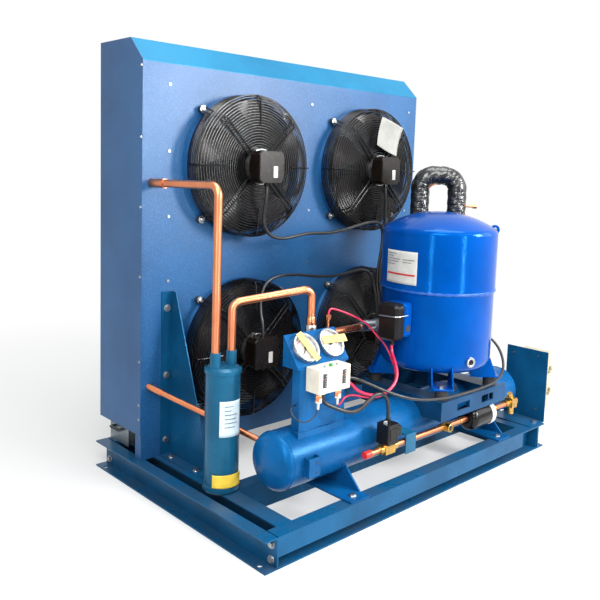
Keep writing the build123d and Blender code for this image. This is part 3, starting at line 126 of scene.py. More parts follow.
def placed(name: str, data: bpy.types.ID) -> bpy.types.Object:
    """A new object in the scene."""
    thing = bpy.data.objects.new(name, data)
    bpy.context.scene.collection.objects.link(thing)
    return thing


# ------------------------------------------------------------------ finishes
@dataclass(frozen=True)
class Finish:
    """A surface with blotches of two tones, a fine grain in its relief and a spread of gloss.

    Sizes are in millimetres on the object, and a blotch or a grain is about that wide.
    """

    name: str
    colour: str
    shade: str
    blotch_mm: float = 60.0
    metallic: float = 0.0
    roughness: tuple[float, float] = (0.35, 0.5)
    grain_mm: float = 2.0
    grain: float = 0.1
    coat: float = 0.0
    ior: float = 1.5
    # colour and size of pale flecks that paint glints on a speckled coat
    glint_speck: str = ""
    glint_speck_mm: float = 3.0
    dust: float = 0.0
    sheen: str = "#ffffff"

    def relief(self, tree: bpy.types.NodeTree, place: Socket) -> Socket:
        """Height of the surface's grain.

        Args:
            tree: the node tree.
            place: object coordinates.

        Returns:
            The height socket.
        """
        return add(tree, "TexNoise", {
            "Vector": place, "Scale": 1000.0 / self.grain_mm, "Detail": 3.0, "Roughness": 0.55})

    def tint(self, tree: bpy.types.NodeTree, place: Socket, tone: Socket) -> Socket:
        """Colour over the blotches; a plain finish leaves it as it is."""
        return tone

    def build(self) -> bpy.types.Material:
        """Make the material.

        Returns:
            The material, with its principled shader.
        """
        material = bpy.data.materials.new(self.name)
        tree = cleared(material)
        place = add(tree, "TexCoord", out="Object")
        blotch = add(tree, "TexNoise", {
            "Vector": place, "Scale": 1000.0 / self.blotch_mm, "Detail": 4.0, "Roughness": 0.6})
        spread = add(tree, "MapRange", {"Value": blotch, "From Min": 0.36, "From Max": 0.64})
        tone = add(tree, "Mix", {0: spread, 6: srgb(self.colour), 7: srgb(self.shade)}, 2, data_type="RGBA")
        # painted glints: pale flecks mixed into the tone
        if self.glint_speck:
            glint_fleck = add(tree, "TexNoise", {"Vector": place, "Scale": 1000.0 / self.glint_speck_mm, "Detail": 1.0})
            share = add(tree, "MapRange", {"Value": glint_fleck, "From Min": 0.56, "From Max": 0.72, "To Max": 0.55})
            tone = add(tree, "Mix", {0: share, 6: tone, 7: srgb(self.glint_speck)}, 2, data_type="RGBA")
        tone = self.tint(tree, place, tone)
        if self.dust:
            normal = add(tree, "NewGeometry", out="Normal")
            up = add(tree, "SeparateXYZ", {0: normal}, 2)
            level = add(tree, "MapRange", {"Value": up, "From Min": 0.6, "From Max": 1.0, "To Max": self.dust})
            settled = add(tree, "Math", {0: level, 1: spread}, operation="MULTIPLY")
            tone = add(tree, "Mix", {0: settled, 6: tone, 7: srgb(DUST)}, 2, data_type="RGBA")
        gloss = add(tree, "MapRange", {
            "Value": blotch, "From Min": 0.3, "From Max": 0.7,
            "To Min": self.roughness[0], "To Max": self.roughness[1]})
        bump = add(tree, "Bump", {
            "Strength": self.grain, "Distance": self.grain_mm / 4000.0, "Height": self.relief(tree, place)})
        inputs = {"Base Color": tone, "Roughness": gloss, "Normal": bump, "Metallic": self.metallic,
                  "Coat Weight": self.coat, "Coat Roughness": 0.08}
        if self.metallic < 0.5:
            inputs["IOR"] = self.ior
            inputs["Specular Tint"] = srgb(self.sheen)
        shader = add(tree, "BsdfPrincipled", inputs)
        add(tree, "OutputMaterial", {"Surface": shader})
        return material


@dataclass(frozen=True)
class FinPack(Finish):
    """Aluminium fins: thin plates side by side, drawn at twice their real pitch so that they show, with painted shade
    in the gaps between them.
    """

    pitch_mm: float = 4.2
    gap_shade: str = "#15181b"

    def relief(self, tree: bpy.types.NodeTree, place: Socket) -> Socket:
        """Bands across X, one for each fin."""
        return add(tree, "TexWave", {"Vector": place, "Scale": BANDS / self.pitch_mm}, 1,
                   wave_type="BANDS", bands_direction="X")

    def tint(self, tree: bpy.types.NodeTree, place: Socket, tone: Socket) -> Socket:
        """Painted shade in the gaps, where the relief is low."""
        return add(tree, "Mix", {0: self.relief(tree, place), 6: srgb(self.gap_shade), 7: tone}, 2, data_type="RGBA")


@dataclass(frozen=True)
class Braid(FinPack):
    """Stainless wire braid: two sets of strands that cross at a slant, on the hose's own UV map, with painted shade
    between the strands.
    """

    pitch_mm: float = 3.0
    gap_shade: str = "#2a2a2b"
    slant: float = 38.0

    def relief(self, tree: bpy.types.NodeTree, place: Socket) -> Socket:
        """The higher of two slanting sets of bands."""
        uv = add(tree, "TexCoord", out="UV")
        heights = []
        for degrees in (self.slant, -self.slant):
            turned = add(tree, "Mapping", {"Vector": uv, "Rotation": (0.0, 0.0, math.radians(degrees))})
            heights.append(super().relief(tree, turned))
        return add(tree, "Math", dict(enumerate(heights)), operation="MAXIMUM")


@dataclass(frozen=True)
class Tape(Finish):
    """Glossy insulating tape, wound with creases that run along the turns."""

    def relief(self, tree: bpy.types.NodeTree, place: Socket) -> Socket:
        """Stretched noise on the sleeve's UV map, finer along its length."""
        uv = add(tree, "TexCoord", out="UV")
        drawn = add(tree, "Mapping", {"Vector": uv, "Scale": (0.35, 1.0, 1.0)})
        return add(tree, "TexNoise", {
            "Vector": drawn, "Scale": 1000.0 / self.grain_mm, "Detail": 3.0, "Distortion": 0.8})


@dataclass(frozen=True)
class Glass:
    """Clear glass or a coloured lens, thin and polished."""

    name: str
    colour: str = "#ffffff"
    roughness: float = 0.0

    def build(self) -> bpy.types.Material:
        """Make the material.

        Returns:
            A thin clear sheet whose reflection grows at a slant, with faint smears in its gloss.
        """
        material = bpy.data.materials.new(self.name)
        tree = cleared(material)
        place = add(tree, "TexCoord", out="Object")
        smear = add(tree, "TexNoise", {"Vector": place, "Scale": 60.0, "Detail": 2.0})
        gloss = add(tree, "MapRange", {
            "Value": smear, "From Min": 0.5, "To Min": self.roughness, "To Max": self.roughness + 0.03})
        slant = add(tree, "Fresnel", {"IOR": 1.45})
        inside = add(tree, "NewGeometry", out="Backfacing")
        outside = add(tree, "Math", {0: 1.0, 1: inside}, operation="SUBTRACT")
        rim = add(tree, "Math", {0: slant, 1: outside}, operation="MULTIPLY")
        clear = add(tree, "BsdfTransparent", {"Color": srgb(self.colour)})
        sheen = add(tree, "BsdfAnisotropic", {"Color": (1, 1, 1, 1), "Roughness": gloss})
        shader = add(tree, "MixShader", {0: rim, 1: clear, 2: sheen})
        add(tree, "OutputMaterial", {"Surface": shader})
        return material


class Coat(Enum):
    """Every finish on the unit, named for what it is in the workshop.

    After its name come colour, shade, blotch in mm, metallic, roughness from and to, grain in mm and its strength.
    """

    # Sheet steel, powder coated: a low sheen with an orange peel, and fine pale flecks that are painted glints of its
    # speckled sheen.
    CABINET = Finish("cabinet_powder_coat", "#184b78", "#13406a", 300, 0, (0.30, 0.38), 2.6, 1.0, ior=1.4,
                     glint_speck="#40709f", glint_speck_mm=2.2, dust=0.1)
    # Welded channels and pressed rings, brushed with the same coat, so a little glossier and dustier; the nozzles'
    # rings are a tone darker, as painted shade behind the guards.
    BASE = Finish("base_paint", "#0c466b", "#083858", 120, 0, (0.24, 0.38), 2.5, 0.2, ior=1.42, dust=0.04,
                  sheen="#58b8f0")
    NOZZLE_PAINTED_SHADE = Finish("nozzle_paint", "#123f6c", "#0d3258", 90, 0, (0.3, 0.42), 2.0, 0.2, ior=1.38, sheen="#70b8ff")
    # Tank enamel, sprayed wet over rolled plate: slow waves and a soft gloss.
    TANK = Finish("tank_enamel", "#0a4f84", "#063e6b", 140, 0, (0.2, 0.32), 6.0, 0.25, ior=1.42, sheen="#50b8ff")
    SHELL = Finish("compressor_enamel", "#003e8a", "#00367c", 160, 0, (0.12, 0.2), 9.0, 0.14, ior=1.45,
                   sheen="#30b0ff")
    SEPARATOR = Finish("separator_enamel", "#154f6e", "#10435e", 90, 0, (0.16, 0.26), 4.0, 0.12, ior=1.42,
                       sheen="#a0d8f0")
    # Rolled aluminium: pale metal, with painted shade in the gaps from one fin to the next.
    FINS = FinPack("aluminium_fins", "#8f989c", "#7d868b", 60, 0.9, (0.35, 0.5), 4.2, 0.8)
    # Dip-coated steel wire: black, thick and slightly shiny.
    WIRE = Finish("dipped_wire", "#08080a", "#060607", 30, 0, (0.18, 0.3), 1.5, 0.15, ior=1.36)
    # Cast and pressed steel, sprayed black: the stators a little warmer than the blades.
    MOTOR = Finish("motor_paint", "#15100d", "#0e0a08", 40, 0, (0.22, 0.34), 1.2, 0.2, ior=1.3)
    BLADE = Finish("blade_paint", "#1d1819", "#141112", 50, 0, (0.25, 0.35), 2.0, 0.15, ior=1.36)
    # Moulded black parts: the rubber is matt and greyish, the plastic smoother and deeper; the rubber's finish also
    # gives the dark discs of painted shade in holes.
    RUBBER_AND_HOLE_SHADE = Finish("moulded_rubber", "#1a1a1a", "#232323", 12, 0, (0.6, 0.78), 1.2, 0.4)
    ABS = Finish("black_abs", "#131213", "#0e0d0e", 40, 0, (0.25, 0.38), 0.9, 0.2, ior=1.32)
    # Drawn copper tube: bright salmon with brown and pink heat marks.
    COPPER = Finish("copper_tube", "#dd8f68", "#c97a56", 110, 1, (0.24, 0.36), 7.0, 0.08)
    # Turned and plated hardware: small, bright and finely scored by the tool.
    BRASS = Finish("turned_brass", "#c9a35c", "#a8823f", 14, 1.0, (0.22, 0.38), 1.4, 0.15)
    ZINC = Finish("bright_zinc", "#a9adb0", "#8f9498", 9, 1.0, (0.28, 0.42), 1.0, 0.15)
    STEEL = Finish("bright_steel", "#b9bcbd", "#a2a5a7", 12, 1.0, (0.24, 0.38), 0.9, 0.2)
    # Woven stainless wire, and vinyl tape wound on by hand, which creases and shines.
    BRAID = Braid("steel_braid", "#b8b7b2", "#97968f", 20, 1.0, (0.3, 0.42), 1.4, 1.0)
    TAPE = Tape("insulating_tape", "#0f1012", "#17181b", 30, 0, (0.16, 0.34), 9.0, 0.9, coat=0.3)
    # Baked black enamel on a drawn can: sharp, narrow reflections.
    DRIER = Finish("drier_paint", "#08080a", "#050506", 40, 0, (0.1, 0.2), 4.0, 0.1, ior=1.35)
    # Moulded plastics in even colours, with a satin skin that holds a little dust.
    RED_CAP = Finish("red_vinyl_cap", "#c8281f", "#b32018", 14, 0, (0.35, 0.45), 1.5, 0.15)
    HOUSING = Finish("switch_housing", "#cdc6b8", "#c2baab", 25, 0, (0.32, 0.42), 1.0, 0.15, dust=0.1)
    GREEN = Finish("green_button", "#2b8f4e", "#24803f", 8, 0, (0.3, 0.4), 1.0, 0.1)
    # the electric box: cream plastic in a darker tone, painted shade on the side in view
    BEIGE_PAINTED_SHADE = Finish("beige_polycarbonate", "#a39d88", "#989178", 60, 0, (0.38, 0.5), 1.2, 0.2, dust=0.15)
    # Lacquered needles and extruded lead jackets: dark, with a soft line of light.
    NEEDLE = Finish("needle_lacquer", "#15161a", "#1c1d21", 8, 0, (0.4, 0.5), 0.8, 0.1)
    LEADS = Finish("flexible_lead", "#101012", "#191919", 14, 0, (0.3, 0.45), 1.0, 0.25)
    # Uncoated label stock: matt, faintly warm, with a fibre grain.
    PAPER = Finish("label_paper", "#b6b6b2", "#acaca8", 20, 0, (0.55, 0.7), 0.8, 0.2)
    YELLOW = Finish("yellow_label", "#d8b93a", "#c9aa30", 20, 0, (0.45, 0.6), 0.8, 0.2)
    CREAM_TAPE = Finish("masking_tape", "#c8ae68", "#b89c56", 12, 0, (0.55, 0.7), 1.5, 0.5)
    # Screen-printed dials: flat enamel and ink.
    DIAL = Finish("dial_enamel", "#efefec", "#e6e6e2", 18, 0, (0.4, 0.5), 0.8, 0.05)
    BLACK_MARK = Finish("dial_ink", "#1b1b1d", "#242427", 8, 0, (0.5, 0.6), 0.8, 0.05)
    RED_MARK = Finish("dial_red_ink", "#b5261e", "#a31f18", 8, 0, (0.5, 0.6), 0.8, 0.05)
    # Paint over a weld, and the same paints on other sheets and channels: the cradle darker as painted shade, and the
    # cabinet's top paler and more cyan as a painted reflection of the sky above.
    BEAD = Finish("painted_weld", "#004a9c", "#00408c", 10, 0, (0.28, 0.42), 3.0, 0.6, coat=0.2)
    # the cradle: darker than the other blues, painted shade so that its lower half reads as in shadow
    CRADLE_PAINTED_SHADE = Finish("cradle_paint", "#0e395c", "#0a2d4a", 120, 0, (0.28, 0.4), 2.5, 0.2, ior=1.33, sheen="#58b4ff")
    # the cabinet's top: a painted reflection of the sky, paler and more cyan than the sides
    HOOD_PAINTED_REFLECTION = Finish("hood_paint", "#116588", "#0d587a", 300, 0, (0.3, 0.4), 2.2, 0.4, ior=1.35, sheen="#50c8f0")
    # Print and film on the labels, and the bright jacket of the box lead.
    DIAL_GREY = Finish("grey_print", "#6d7076", "#626469", 14, 0, (0.35, 0.5), 0.8, 0.1)
    # the tag: white paper in a grey tone, painted shade against the light of the sheen lamp
    TAG_PAINTED_SHADE = Finish("tag_paper", "#8e8e8a", "#858581", 30, 0, (0.6, 0.7), 0.8, 0.2, ior=1.3)
    PALE_LABEL = Finish("pale_label_film", "#b9c9d2", "#a9bcc7", 14, 0, (0.35, 0.5), 0.8, 0.1)
    RED_LEAD = Finish("red_lead", "#c2254c", "#a61c3e", 20, 0, (0.3, 0.42), 1.0, 0.2)
    # Float glass, and a lens tinted by what is behind it.
    CLEAR = Glass("clear_lens")
    GREEN_LENS = Glass("sight_lens", "#3f5b49", 0.05)


MADE: dict[Coat, bpy.types.Material] = {}


def coat(kind: Coat) -> bpy.types.Material:
    """The material of a finish, made the first time that it is asked for."""
    if kind not in MADE:
        MADE[kind] = kind.value.build()
    return MADE[kind]


# ------------------------------------------------------------------ surfaces
def unit(vector: np.ndarray) -> np.ndarray:
    """Vectors of length one along the last axis."""
    vector = np.asarray(vector, float)
    return vector / np.maximum(np.linalg.norm(vector, axis=-1, keepdims=True), 1e-12)


def around(steps: int) -> np.ndarray:
    """Angles of a full turn, whose first and last are the same place."""
    return np.linspace(0, 2 * math.pi, steps + 1)


def compass(degrees: float) -> tuple[tuple[float, float], tuple[float, float]]:
    """Cosine and sine of an angle, and of the angle a quarter turn on."""
    turn = math.radians(degrees)
    way = (math.cos(turn), math.sin(turn))
    return way, (-way[1], way[0])


def quads(index: np.ndarray) -> np.ndarray:
    """The four corners of each cell in a grid of vertex numbers."""
    return np.stack([index[:-1, :-1], index[:-1, 1:], index[1:, 1:], index[1:, :-1]], -1).reshape(-1, 4)


def frame_of(axis: Point) -> tuple[np.ndarray, np.ndarray, np.ndarray]:
    """Two directions square to an axis, and the axis.

    Args:
        axis: any direction.

    Returns:
        Across, up and the axis, all of length one; up is as near to +Z as it can be.
    """
    along = unit(axis)
    guide = np.array([0.0, 0.0, 1.0]) if abs(along[2]) < 0.95 else np.array([0.0, 1.0, 0.0])
    across = unit(np.cross(guide, along))
    return across, np.cross(along, across), along


def revolve(profile: list | np.ndarray, origin: Point, axis: Point, sides: int = 48) -> np.ndarray:
    """Surface of revolution: each profile point (radius, height) swept round the axis.

    Args:
        profile: radius and height of each point.
        origin: a point on the axis at height zero.
        axis: the axis.
        sides: steps round it.

    Returns:
        A grid of points.
    """
    across, up, along = frame_of(axis)
    line = np.asarray(profile, float)
    angle = around(sides)
    ring = np.cos(angle)[:, None] * across + np.sin(angle)[:, None] * up
    return np.asarray(origin) + line[:, 0, None, None] * ring + line[:, 1, None, None] * along


def filleted(points: list, bend: float, step: float = 0.004) -> np.ndarray:
    """Centre line of a bent pipe: straight runs joined by tangent arcs of one radius.

    Args:
        points: the route's corners.
        bend: the arcs' radius.
        step: distance between points along an arc.

    Returns:
        The points of the line, in order.
    """
    spots = np.asarray(points, float)
    line = [spots[:1]]
    for before, corner, after in zip(spots, spots[1:], spots[2:]):
        one, two = unit(before - corner), unit(after - corner)
        half = 0.5 * math.acos(float(np.clip(np.dot(one, two), -1, 1)))
        centre = corner + unit(one + two) * bend / math.sin(half)
        start = corner + one * bend / math.tan(half)
        turn = math.pi - 2 * half
        share = np.linspace(0, turn, max(3, int(bend * turn / step)))[:, None]
        out = unit(start - centre)
        line.append(centre + bend * (np.cos(share) * out - np.sin(share) * one))
    line.append(spots[-1:])
    return np.concatenate(line)


def evened(line: np.ndarray, step: float) -> np.ndarray:
    """The same line with points at equal distances along it."""
    gone = np.concatenate([[0.0], np.cumsum(np.linalg.norm(np.diff(line, axis=0), axis=1))])
    marks = np.linspace(0, gone[-1], max(2, int(gone[-1] / step)))
    return np.stack([np.interp(marks, gone, line[:, k]) for k in range(3)], -1)


def sweep(line: np.ndarray, radius: float | np.ndarray, sides: int = 12, guide: Point = UP) -> np.ndarray:
    """Round bar: a circle carried square to a line, closed to a point at both ends.

    Args:
        line: points of the centre line.
        radius: one radius, or one for each point of the grid.
        sides: sides of the circle.
        guide: a direction that no part of the line follows.

    Returns:
        A grid of points.
    """
    along = unit(np.gradient(line, axis=0))
    across = unit(np.cross(along, guide))
    up = np.cross(across, along)
    angle = around(sides)
    ring = np.cos(angle)[None, :, None] * across[:, None] + np.sin(angle)[None, :, None] * up[:, None]
    size = np.broadcast_to(np.asarray(radius, float), ring.shape[:2])[..., None]
    body = line[:, None] + size * ring
    ends = [np.broadcast_to(line[i], body[:1].shape) for i in (0, -1)]
    return np.concatenate([ends[0], body, ends[1]])


def pad(centre: Point, across: Point, up: Point, size: tuple[float, float, float], corner: float,
        sides: int = 32, edge: float = 0.0) -> np.ndarray:
    """Rounded plate or block: an outline with round corners, set in at its two faces.

    Args:
        centre: its middle.
        across: direction of its width.
        up: direction of its height.
        size: width, height and thickness.
        corner: radius of the outline's corners.
        sides: points round the outline, in fours.
        edge: how far the faces are set in from the outline; 0 gives a fifth of the thickness.

    Returns:
        A closed grid of points.
    """
    wide, high, thick = size
    inset = edge or min(thick / 5, corner / 2)
    angle = (np.arange(sides + 1) + 0.5) * 2 * math.pi / sides
    ring = np.stack([np.cos(angle), np.sin(angle)], -1)
    half = np.array([wide, high]) / 2 - corner
    rows = []
    for shrink, height in ((None, thick / 2), (inset, thick / 2), (0.0, thick / 2 - inset),
                           (0.0, inset - thick / 2), (inset, -thick / 2), (None, -thick / 2)):
        flat = np.zeros_like(ring) if shrink is None else np.sign(ring) * half + (corner - shrink) * ring
        rows.append(np.concatenate([flat, np.full((sides + 1, 1), height)], 1))
    x, y = unit(across), unit(up)
    z = np.cross(x, y)
    grid = np.stack(rows)
    return np.asarray(centre) + grid[..., :1] * x + grid[..., 1:2] * y + grid[..., 2:] * z


def prism(outline: list, origin: Point, across: Point, up: Point, thick: float) -> np.ndarray:
    """Plate with a convex outline, given by points in its own two directions.

    Args:
        outline: the corners, across and up.
        origin: where the outline's zero is, at mid thickness.
        across: its first direction.
        up: its second direction.
        thick: its thickness.

    Returns:
        A closed grid of points.
    """
    ring = np.asarray([*outline, outline[0]], float)
    middle = np.broadcast_to(ring[:-1].mean(0), ring.shape)
    x, y = unit(across), unit(up)
    z = np.cross(x, y)
    edge = min(thick / 4, 0.0008)
    inner = ring + edge * unit(middle - ring)
    rows = [(middle, thick / 2), (inner, thick / 2), (ring, thick / 2 - edge), (ring, edge - thick / 2),
            (inner, -thick / 2), (middle, -thick / 2)]
    grid = np.stack([flat[:, :1] * x + flat[:, 1:] * y + height * z for flat, height in rows])
    return np.asarray(origin) + grid


@dataclass
class Piece:
    """One piece of the scene: grids of points gathered into one mesh, in the row's frame."""

    name: str
    finish: Coat
    body: str = "unit"
    replaces: tuple[str, ...] = ()
    solidify: float = 0.0
    grids: list[np.ndarray] = field(default_factory=list)

    def grid(self, *points: np.ndarray) -> "Piece":
        """Add grids of points and return the piece."""
        self.grids.extend(points)
        return self

    def turned(self, profile: list | np.ndarray, origin: Point, axis: Point, sides: int = 48) -> "Piece":
        """Add a surface of revolution, as revolve makes it."""
        return self.grid(revolve(profile, origin, axis, sides))

    def padded(self, centre: Point, across: Point, up: Point, size: tuple[float, float, float], corner: float,
               sides: int = 32, edge: float = 0.0) -> "Piece":
        """Add a rounded plate or block, as pad makes it."""
        return self.grid(pad(centre, across, up, size, corner, sides, edge))

    def make(self) -> bpy.types.Object:
        """Build the mesh with its UV map in metres, close its seams and let it ride.

        Returns:
            The object, at the origin.
        """
        vertices, faces, maps, count = [], [], [], 0
        for points in self.grids:
            rows, columns = points.shape[:2]
            index = np.arange(rows * columns).reshape(rows, columns) + count
            faces.append(quads(index))
            vertices.append(points.reshape(-1, 3))
            steps = np.linalg.norm(np.diff(points[rows // 2], axis=0), axis=1)
            runs = np.linalg.norm(np.diff(points[:, 0], axis=0), axis=1)
            u = np.concatenate([[0.0], np.cumsum(steps)])
            v = np.concatenate([[0.0], np.cumsum(runs)])
            maps.append(np.stack(np.broadcast_arrays(u[None, :], v[:, None]), -1).reshape(-1, 2))
            count += rows * columns
        faces = np.concatenate(faces)
        mesh = bpy.data.meshes.new(self.name)
        mesh.from_pydata(np.concatenate(vertices).tolist(), [], faces.tolist())
        layer = mesh.uv_layers.new(name="UVMap")
        layer.data.foreach_set("uv", np.concatenate(maps)[faces.reshape(-1)].reshape(-1).astype(np.float32))
        bridge = bmesh.new()
        bridge.from_mesh(mesh)
        bmesh.ops.remove_doubles(bridge, verts=bridge.verts, dist=MERGE)
        bmesh.ops.recalc_face_normals(bridge, faces=bridge.faces)
        bridge.to_mesh(mesh)
        bridge.free()
        mesh.polygons.foreach_set("use_smooth", [True] * len(mesh.polygons))
        mesh.materials.append(coat(self.finish))
        thing = placed(self.name, mesh)
        if self.solidify:
            wall = thing.modifiers.new("wall", "SOLIDIFY")
            wall.thickness = self.solidify
            wall.offset = 0.0
        else:
            mesh.set_sharp_from_angle(angle=SHARP)
        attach(thing, self.body)
        if self.replaces:
            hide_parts(*self.replaces)
        LOG.info("made %s with %d faces", self.name, len(mesh.polygons))
        return thing


# ------------------------------------------------------------------ sub-assemblies
@dataclass
class Finishes:
    """Gives every carried-over CAD node its finish."""

    nodes: dict[str, bpy.types.Object]
    wear: dict[Coat, tuple[str, ...]] = field(default_factory=lambda: {
        Coat.BASE: ("base_rail_left", "base_rail_right", "base_rail_front", "base_rail_rear", "base_rail_middle",
                    "base_rails_inner", "gusset_plates", "electric_plate"),
        Coat.CABINET: ("cabinet_side_left", "cabinet_side_right", "fan_panel"),
        Coat.HOOD_PAINTED_REFLECTION: ("cabinet_top",),
        Coat.NOZZLE_PAINTED_SHADE: ("fan_nozzles",),
        Coat.TANK: ("receiver_shell", "receiver_feet", "gauge_panel"),
        Coat.CRADLE_PAINTED_SHADE: ("compressor_cradle",),
        Coat.SHELL: ("compressor_shell",),
        Coat.SEPARATOR: ("oil_separator", "pipe_bracket"),
        Coat.FINS: ("condenser_coil",),
        Coat.MOTOR: ("fan_motors",),
        Coat.BLADE: ("fan_rotor_1", "fan_rotor_2", "fan_rotor_3", "fan_rotor_4"),
        Coat.WIRE: ("fan_guards",),
        Coat.RUBBER_AND_HOLE_SHADE: ("compressor_grommets",),
        Coat.ABS: ("terminal_box", "solenoid_coil"),
        Coat.COPPER: ("suction_pipe", "condenser_inlet_pipe", "condenser_outlet_pipe", "discharge_pipes",
                      "liquid_pipes"),
        Coat.RED_LEAD: ("capillaries",),
        Coat.BRASS: ("receiver_valve", "liquid_sight_glass", "solenoid_valve"),
        Coat.ZINC: ("fasteners", "discharge_valve", "discharge_valve_stem", "suction_valve", "suction_valve_stem",
                    "receiver_valve_stem", "switch_spindle_low", "switch_spindle_high"),
        Coat.STEEL: ("oil_sight_glass", "pressure_gauges"),
        Coat.BRAID: ("vibration_absorber",),
        Coat.TAPE: ("suction_insulation",),
        Coat.DRIER: ("filter_drier",),
        Coat.RED_CAP: ("liquid_outlet_cap",),
        Coat.HOUSING: ("pressure_switch",),
        Coat.GREEN: ("switch_reset_button",),
        Coat.BEIGE_PAINTED_SHADE: ("electric_box", "electric_box_lid"),
        Coat.NEEDLE: ("gauge_needle_low", "gauge_needle_high"),
        Coat.LEADS: ("cables",),
    })

    def dress(self) -> None:
        """Assign each finish to its nodes' material slots."""
        for kind, names in self.wear.items():
            for name in names:
                if name not in self.nodes:
                    LOG.warning("no node %s", name)
                    continue
                node = self.nodes[name]
                if not node.material_slots:
                    node.data.materials.append(None)
                for slot in node.material_slots:
                    slot.material = coat(kind)


@dataclass
class FanGuards:
    """Four wire baskets, each a nest of rings on paired spokes, with rubber pads at its feet.

    Depths are from the panel forward; beyond the brim the front rings fall back by up to dome.
    """

    centres: list[np.ndarray]
    wire: float = 0.0017
    spoke: float = 0.0024
    outer: float = 0.213
    inner: float = 0.054
    front: float = 0.0875
    rings: int = 20
    side_rings: int = 7
    brim: float = 0.14
    pair: float = 0.0075
    foot: float = 0.2257
    bend: float = 0.186
    dome: float = 0.012

    def at(self, centre: np.ndarray, flat: np.ndarray, depth: np.ndarray) -> np.ndarray:
        """Place points given by X and Z from a fan's axis and a depth ahead of the panel.

        Args:
            centre: the fan's centre on the panel.
            flat: X and Z, on the last axis.
            depth: distance ahead of the panel.

        Returns:
            Points in the row's frame.
        """
        return np.stack([centre[0] + flat[..., 0], PANEL_Y - depth, centre[2] + flat[..., 1]], -1)

    def ring_line(self, centre: np.ndarray, radius: float, depth: float) -> np.ndarray:
        """Torus: a small circle carried round a large one.

        Args:
            centre: the fan's centre on the panel.
            radius: the ring's radius.
            depth: its distance ahead of the panel.

        Returns:
            A grid of points.
        """
        big = around(72)[:, None]
        small = around(6)[None, :]
        reach = radius + self.wire * np.cos(small)
        flat = np.stack([reach * np.cos(big), reach * np.sin(big)], -1)
        return self.at(centre, flat, depth + self.wire * np.sin(small) + 0 * big)

    def spokes(self, centre: np.ndarray) -> list[np.ndarray]:
        """Four pairs of wires from the hub ring out to the feet, bent down to the pads, and four single stays.

        Args:
            centre: the fan's centre on the panel.

        Returns:
            Grids of points.
        """
        high = self.front - self.spoke
        pair = [(self.inner, high), (self.bend, high), (self.foot, 0.017)]
        stay = [(0.125, high), (self.outer - 0.004, high - 0.006), (self.outer, 0.02)]
        made = []
        for corner in CORNERS:
            for degrees, shift, run, bend in ((corner, -self.pair, pair, 0.012), (corner, self.pair, pair, 0.012),
                                              (corner - 45, 0.0, stay, 0.010)):
                way, side = (np.array(flat) for flat in compass(degrees))
                line = [self.at(centre, reach * way + shift * side, depth) for reach, depth in run]
                made.append(sweep(evened(filleted(line, bend), 0.006), self.spoke, 8, (side[0], 0.0, side[1])))
        return made

    def build(self) -> None:
        """Build the wires as one piece, and the pads and the bolts as one each."""
        wires = Piece("guard_wires", Coat.WIRE, replaces=("fan_guards",))
        pads = Piece("guard_pads", Coat.RUBBER_AND_HOLE_SHADE)
        bolts = Piece("guard_bolts", Coat.ZINC)
        barrel = [(0, 0), (0.0095, 0), (0.011, 0.002), (0.0104, 0.007), (0.011, 0.012), (0.0095, 0.014), (0, 0.014)]
        bolt = [(0, 0.0215), (0.0045, 0.0215), (0.0062, 0.0198), (0.0062, 0.0175), (0.0108, 0.0172),
                (0.0115, 0.0162), (0.0115, 0.0148), (0, 0.0148)]
        for centre in self.centres:
            for radius in np.linspace(self.inner, self.outer - 0.008, self.rings):
                drop = self.dome * max(0.0, (radius - self.brim) / 0.065) ** 2
                wires.grid(self.ring_line(centre, radius, self.front - 2 * self.spoke - self.wire - drop))
            for depth in np.linspace(0.0135, 0.064, self.side_rings):
                wires.grid(self.ring_line(centre, self.outer - 0.002, depth))
            wires.grid(*self.spokes(centre))
            for corner in CORNERS:
                way, _ = compass(corner)
                spot = (centre[0] + self.foot * way[0], PANEL_Y, centre[2] + self.foot * way[1])
                pads.turned(barrel, spot, AHEAD, 20)
                bolts.turned(bolt, spot, AHEAD, 24)
        for piece in (wires, pads, bolts):
            piece.make()


@dataclass
class MotorPlates:
    """Lids, steel bands and blank pale plates on the fan motors, and a paper tag on one fan."""

    centres: list[np.ndarray]
    face: float = 0.141

    def build(self) -> None:
        """Build the plates, lids, bands and the tag."""
        plates = Piece("motor_plates", Coat.PAPER)
        lids = Piece("motor_lids", Coat.MOTOR)
        bands = Piece("motor_bands", Coat.STEEL)
        y = PANEL_Y - self.face
        band = [(0.0508, 0.080), (0.0524, 0.080), (0.0524, 0.0925), (0.0508, 0.0925), (0.0508, 0.080)]
        for x, _, z in self.centres:
            lids.padded((x, y + 0.006, z), RIGHT, UP, (0.0932, 0.0932, 0.0118), 0.014, 40, 0.004)
            plates.padded((x + 0.014, y - 0.0002, z - 0.014), RIGHT, UP, (0.016, 0.034, 0.0008), 0.002, 16)
            bands.turned(band, (x, PANEL_Y, z), AHEAD, 56)
        for piece in (plates, lids, bands):
            piece.make()
        self.tag(self.centres[3])

    def tag(self, centre: np.ndarray) -> None:
        """A blank paper sheet, leaning and curled a little, tied to the upper right guard.

        Args:
            centre: that fan's centre on the panel.
        """
        across = np.linspace(0, 1, 17)[None, :, None]
        down = np.linspace(0, 1, 17)[:, None, None]
        corners = np.array([(-0.014, 0.184), (0.105, 0.152), (-0.039, 0.086), (0.068, 0.051)])
        high = corners[0] + across * (corners[1] - corners[0])
        low = corners[2] + across * (corners[3] - corners[2])
        flat = high + down * (low - high)
        lift = (0.006 * (2 * down - 1) ** 2 + 0.003 * np.sin(5 * across + 2 * down))[..., 0]
        points = np.stack([centre[0] + flat[..., 0], PANEL_Y - 0.097 - lift, centre[2] + flat[..., 1]], -1)
        Piece("paper_tag", Coat.TAG_PAINTED_SHADE, solidify=SHEET).grid(points).make()


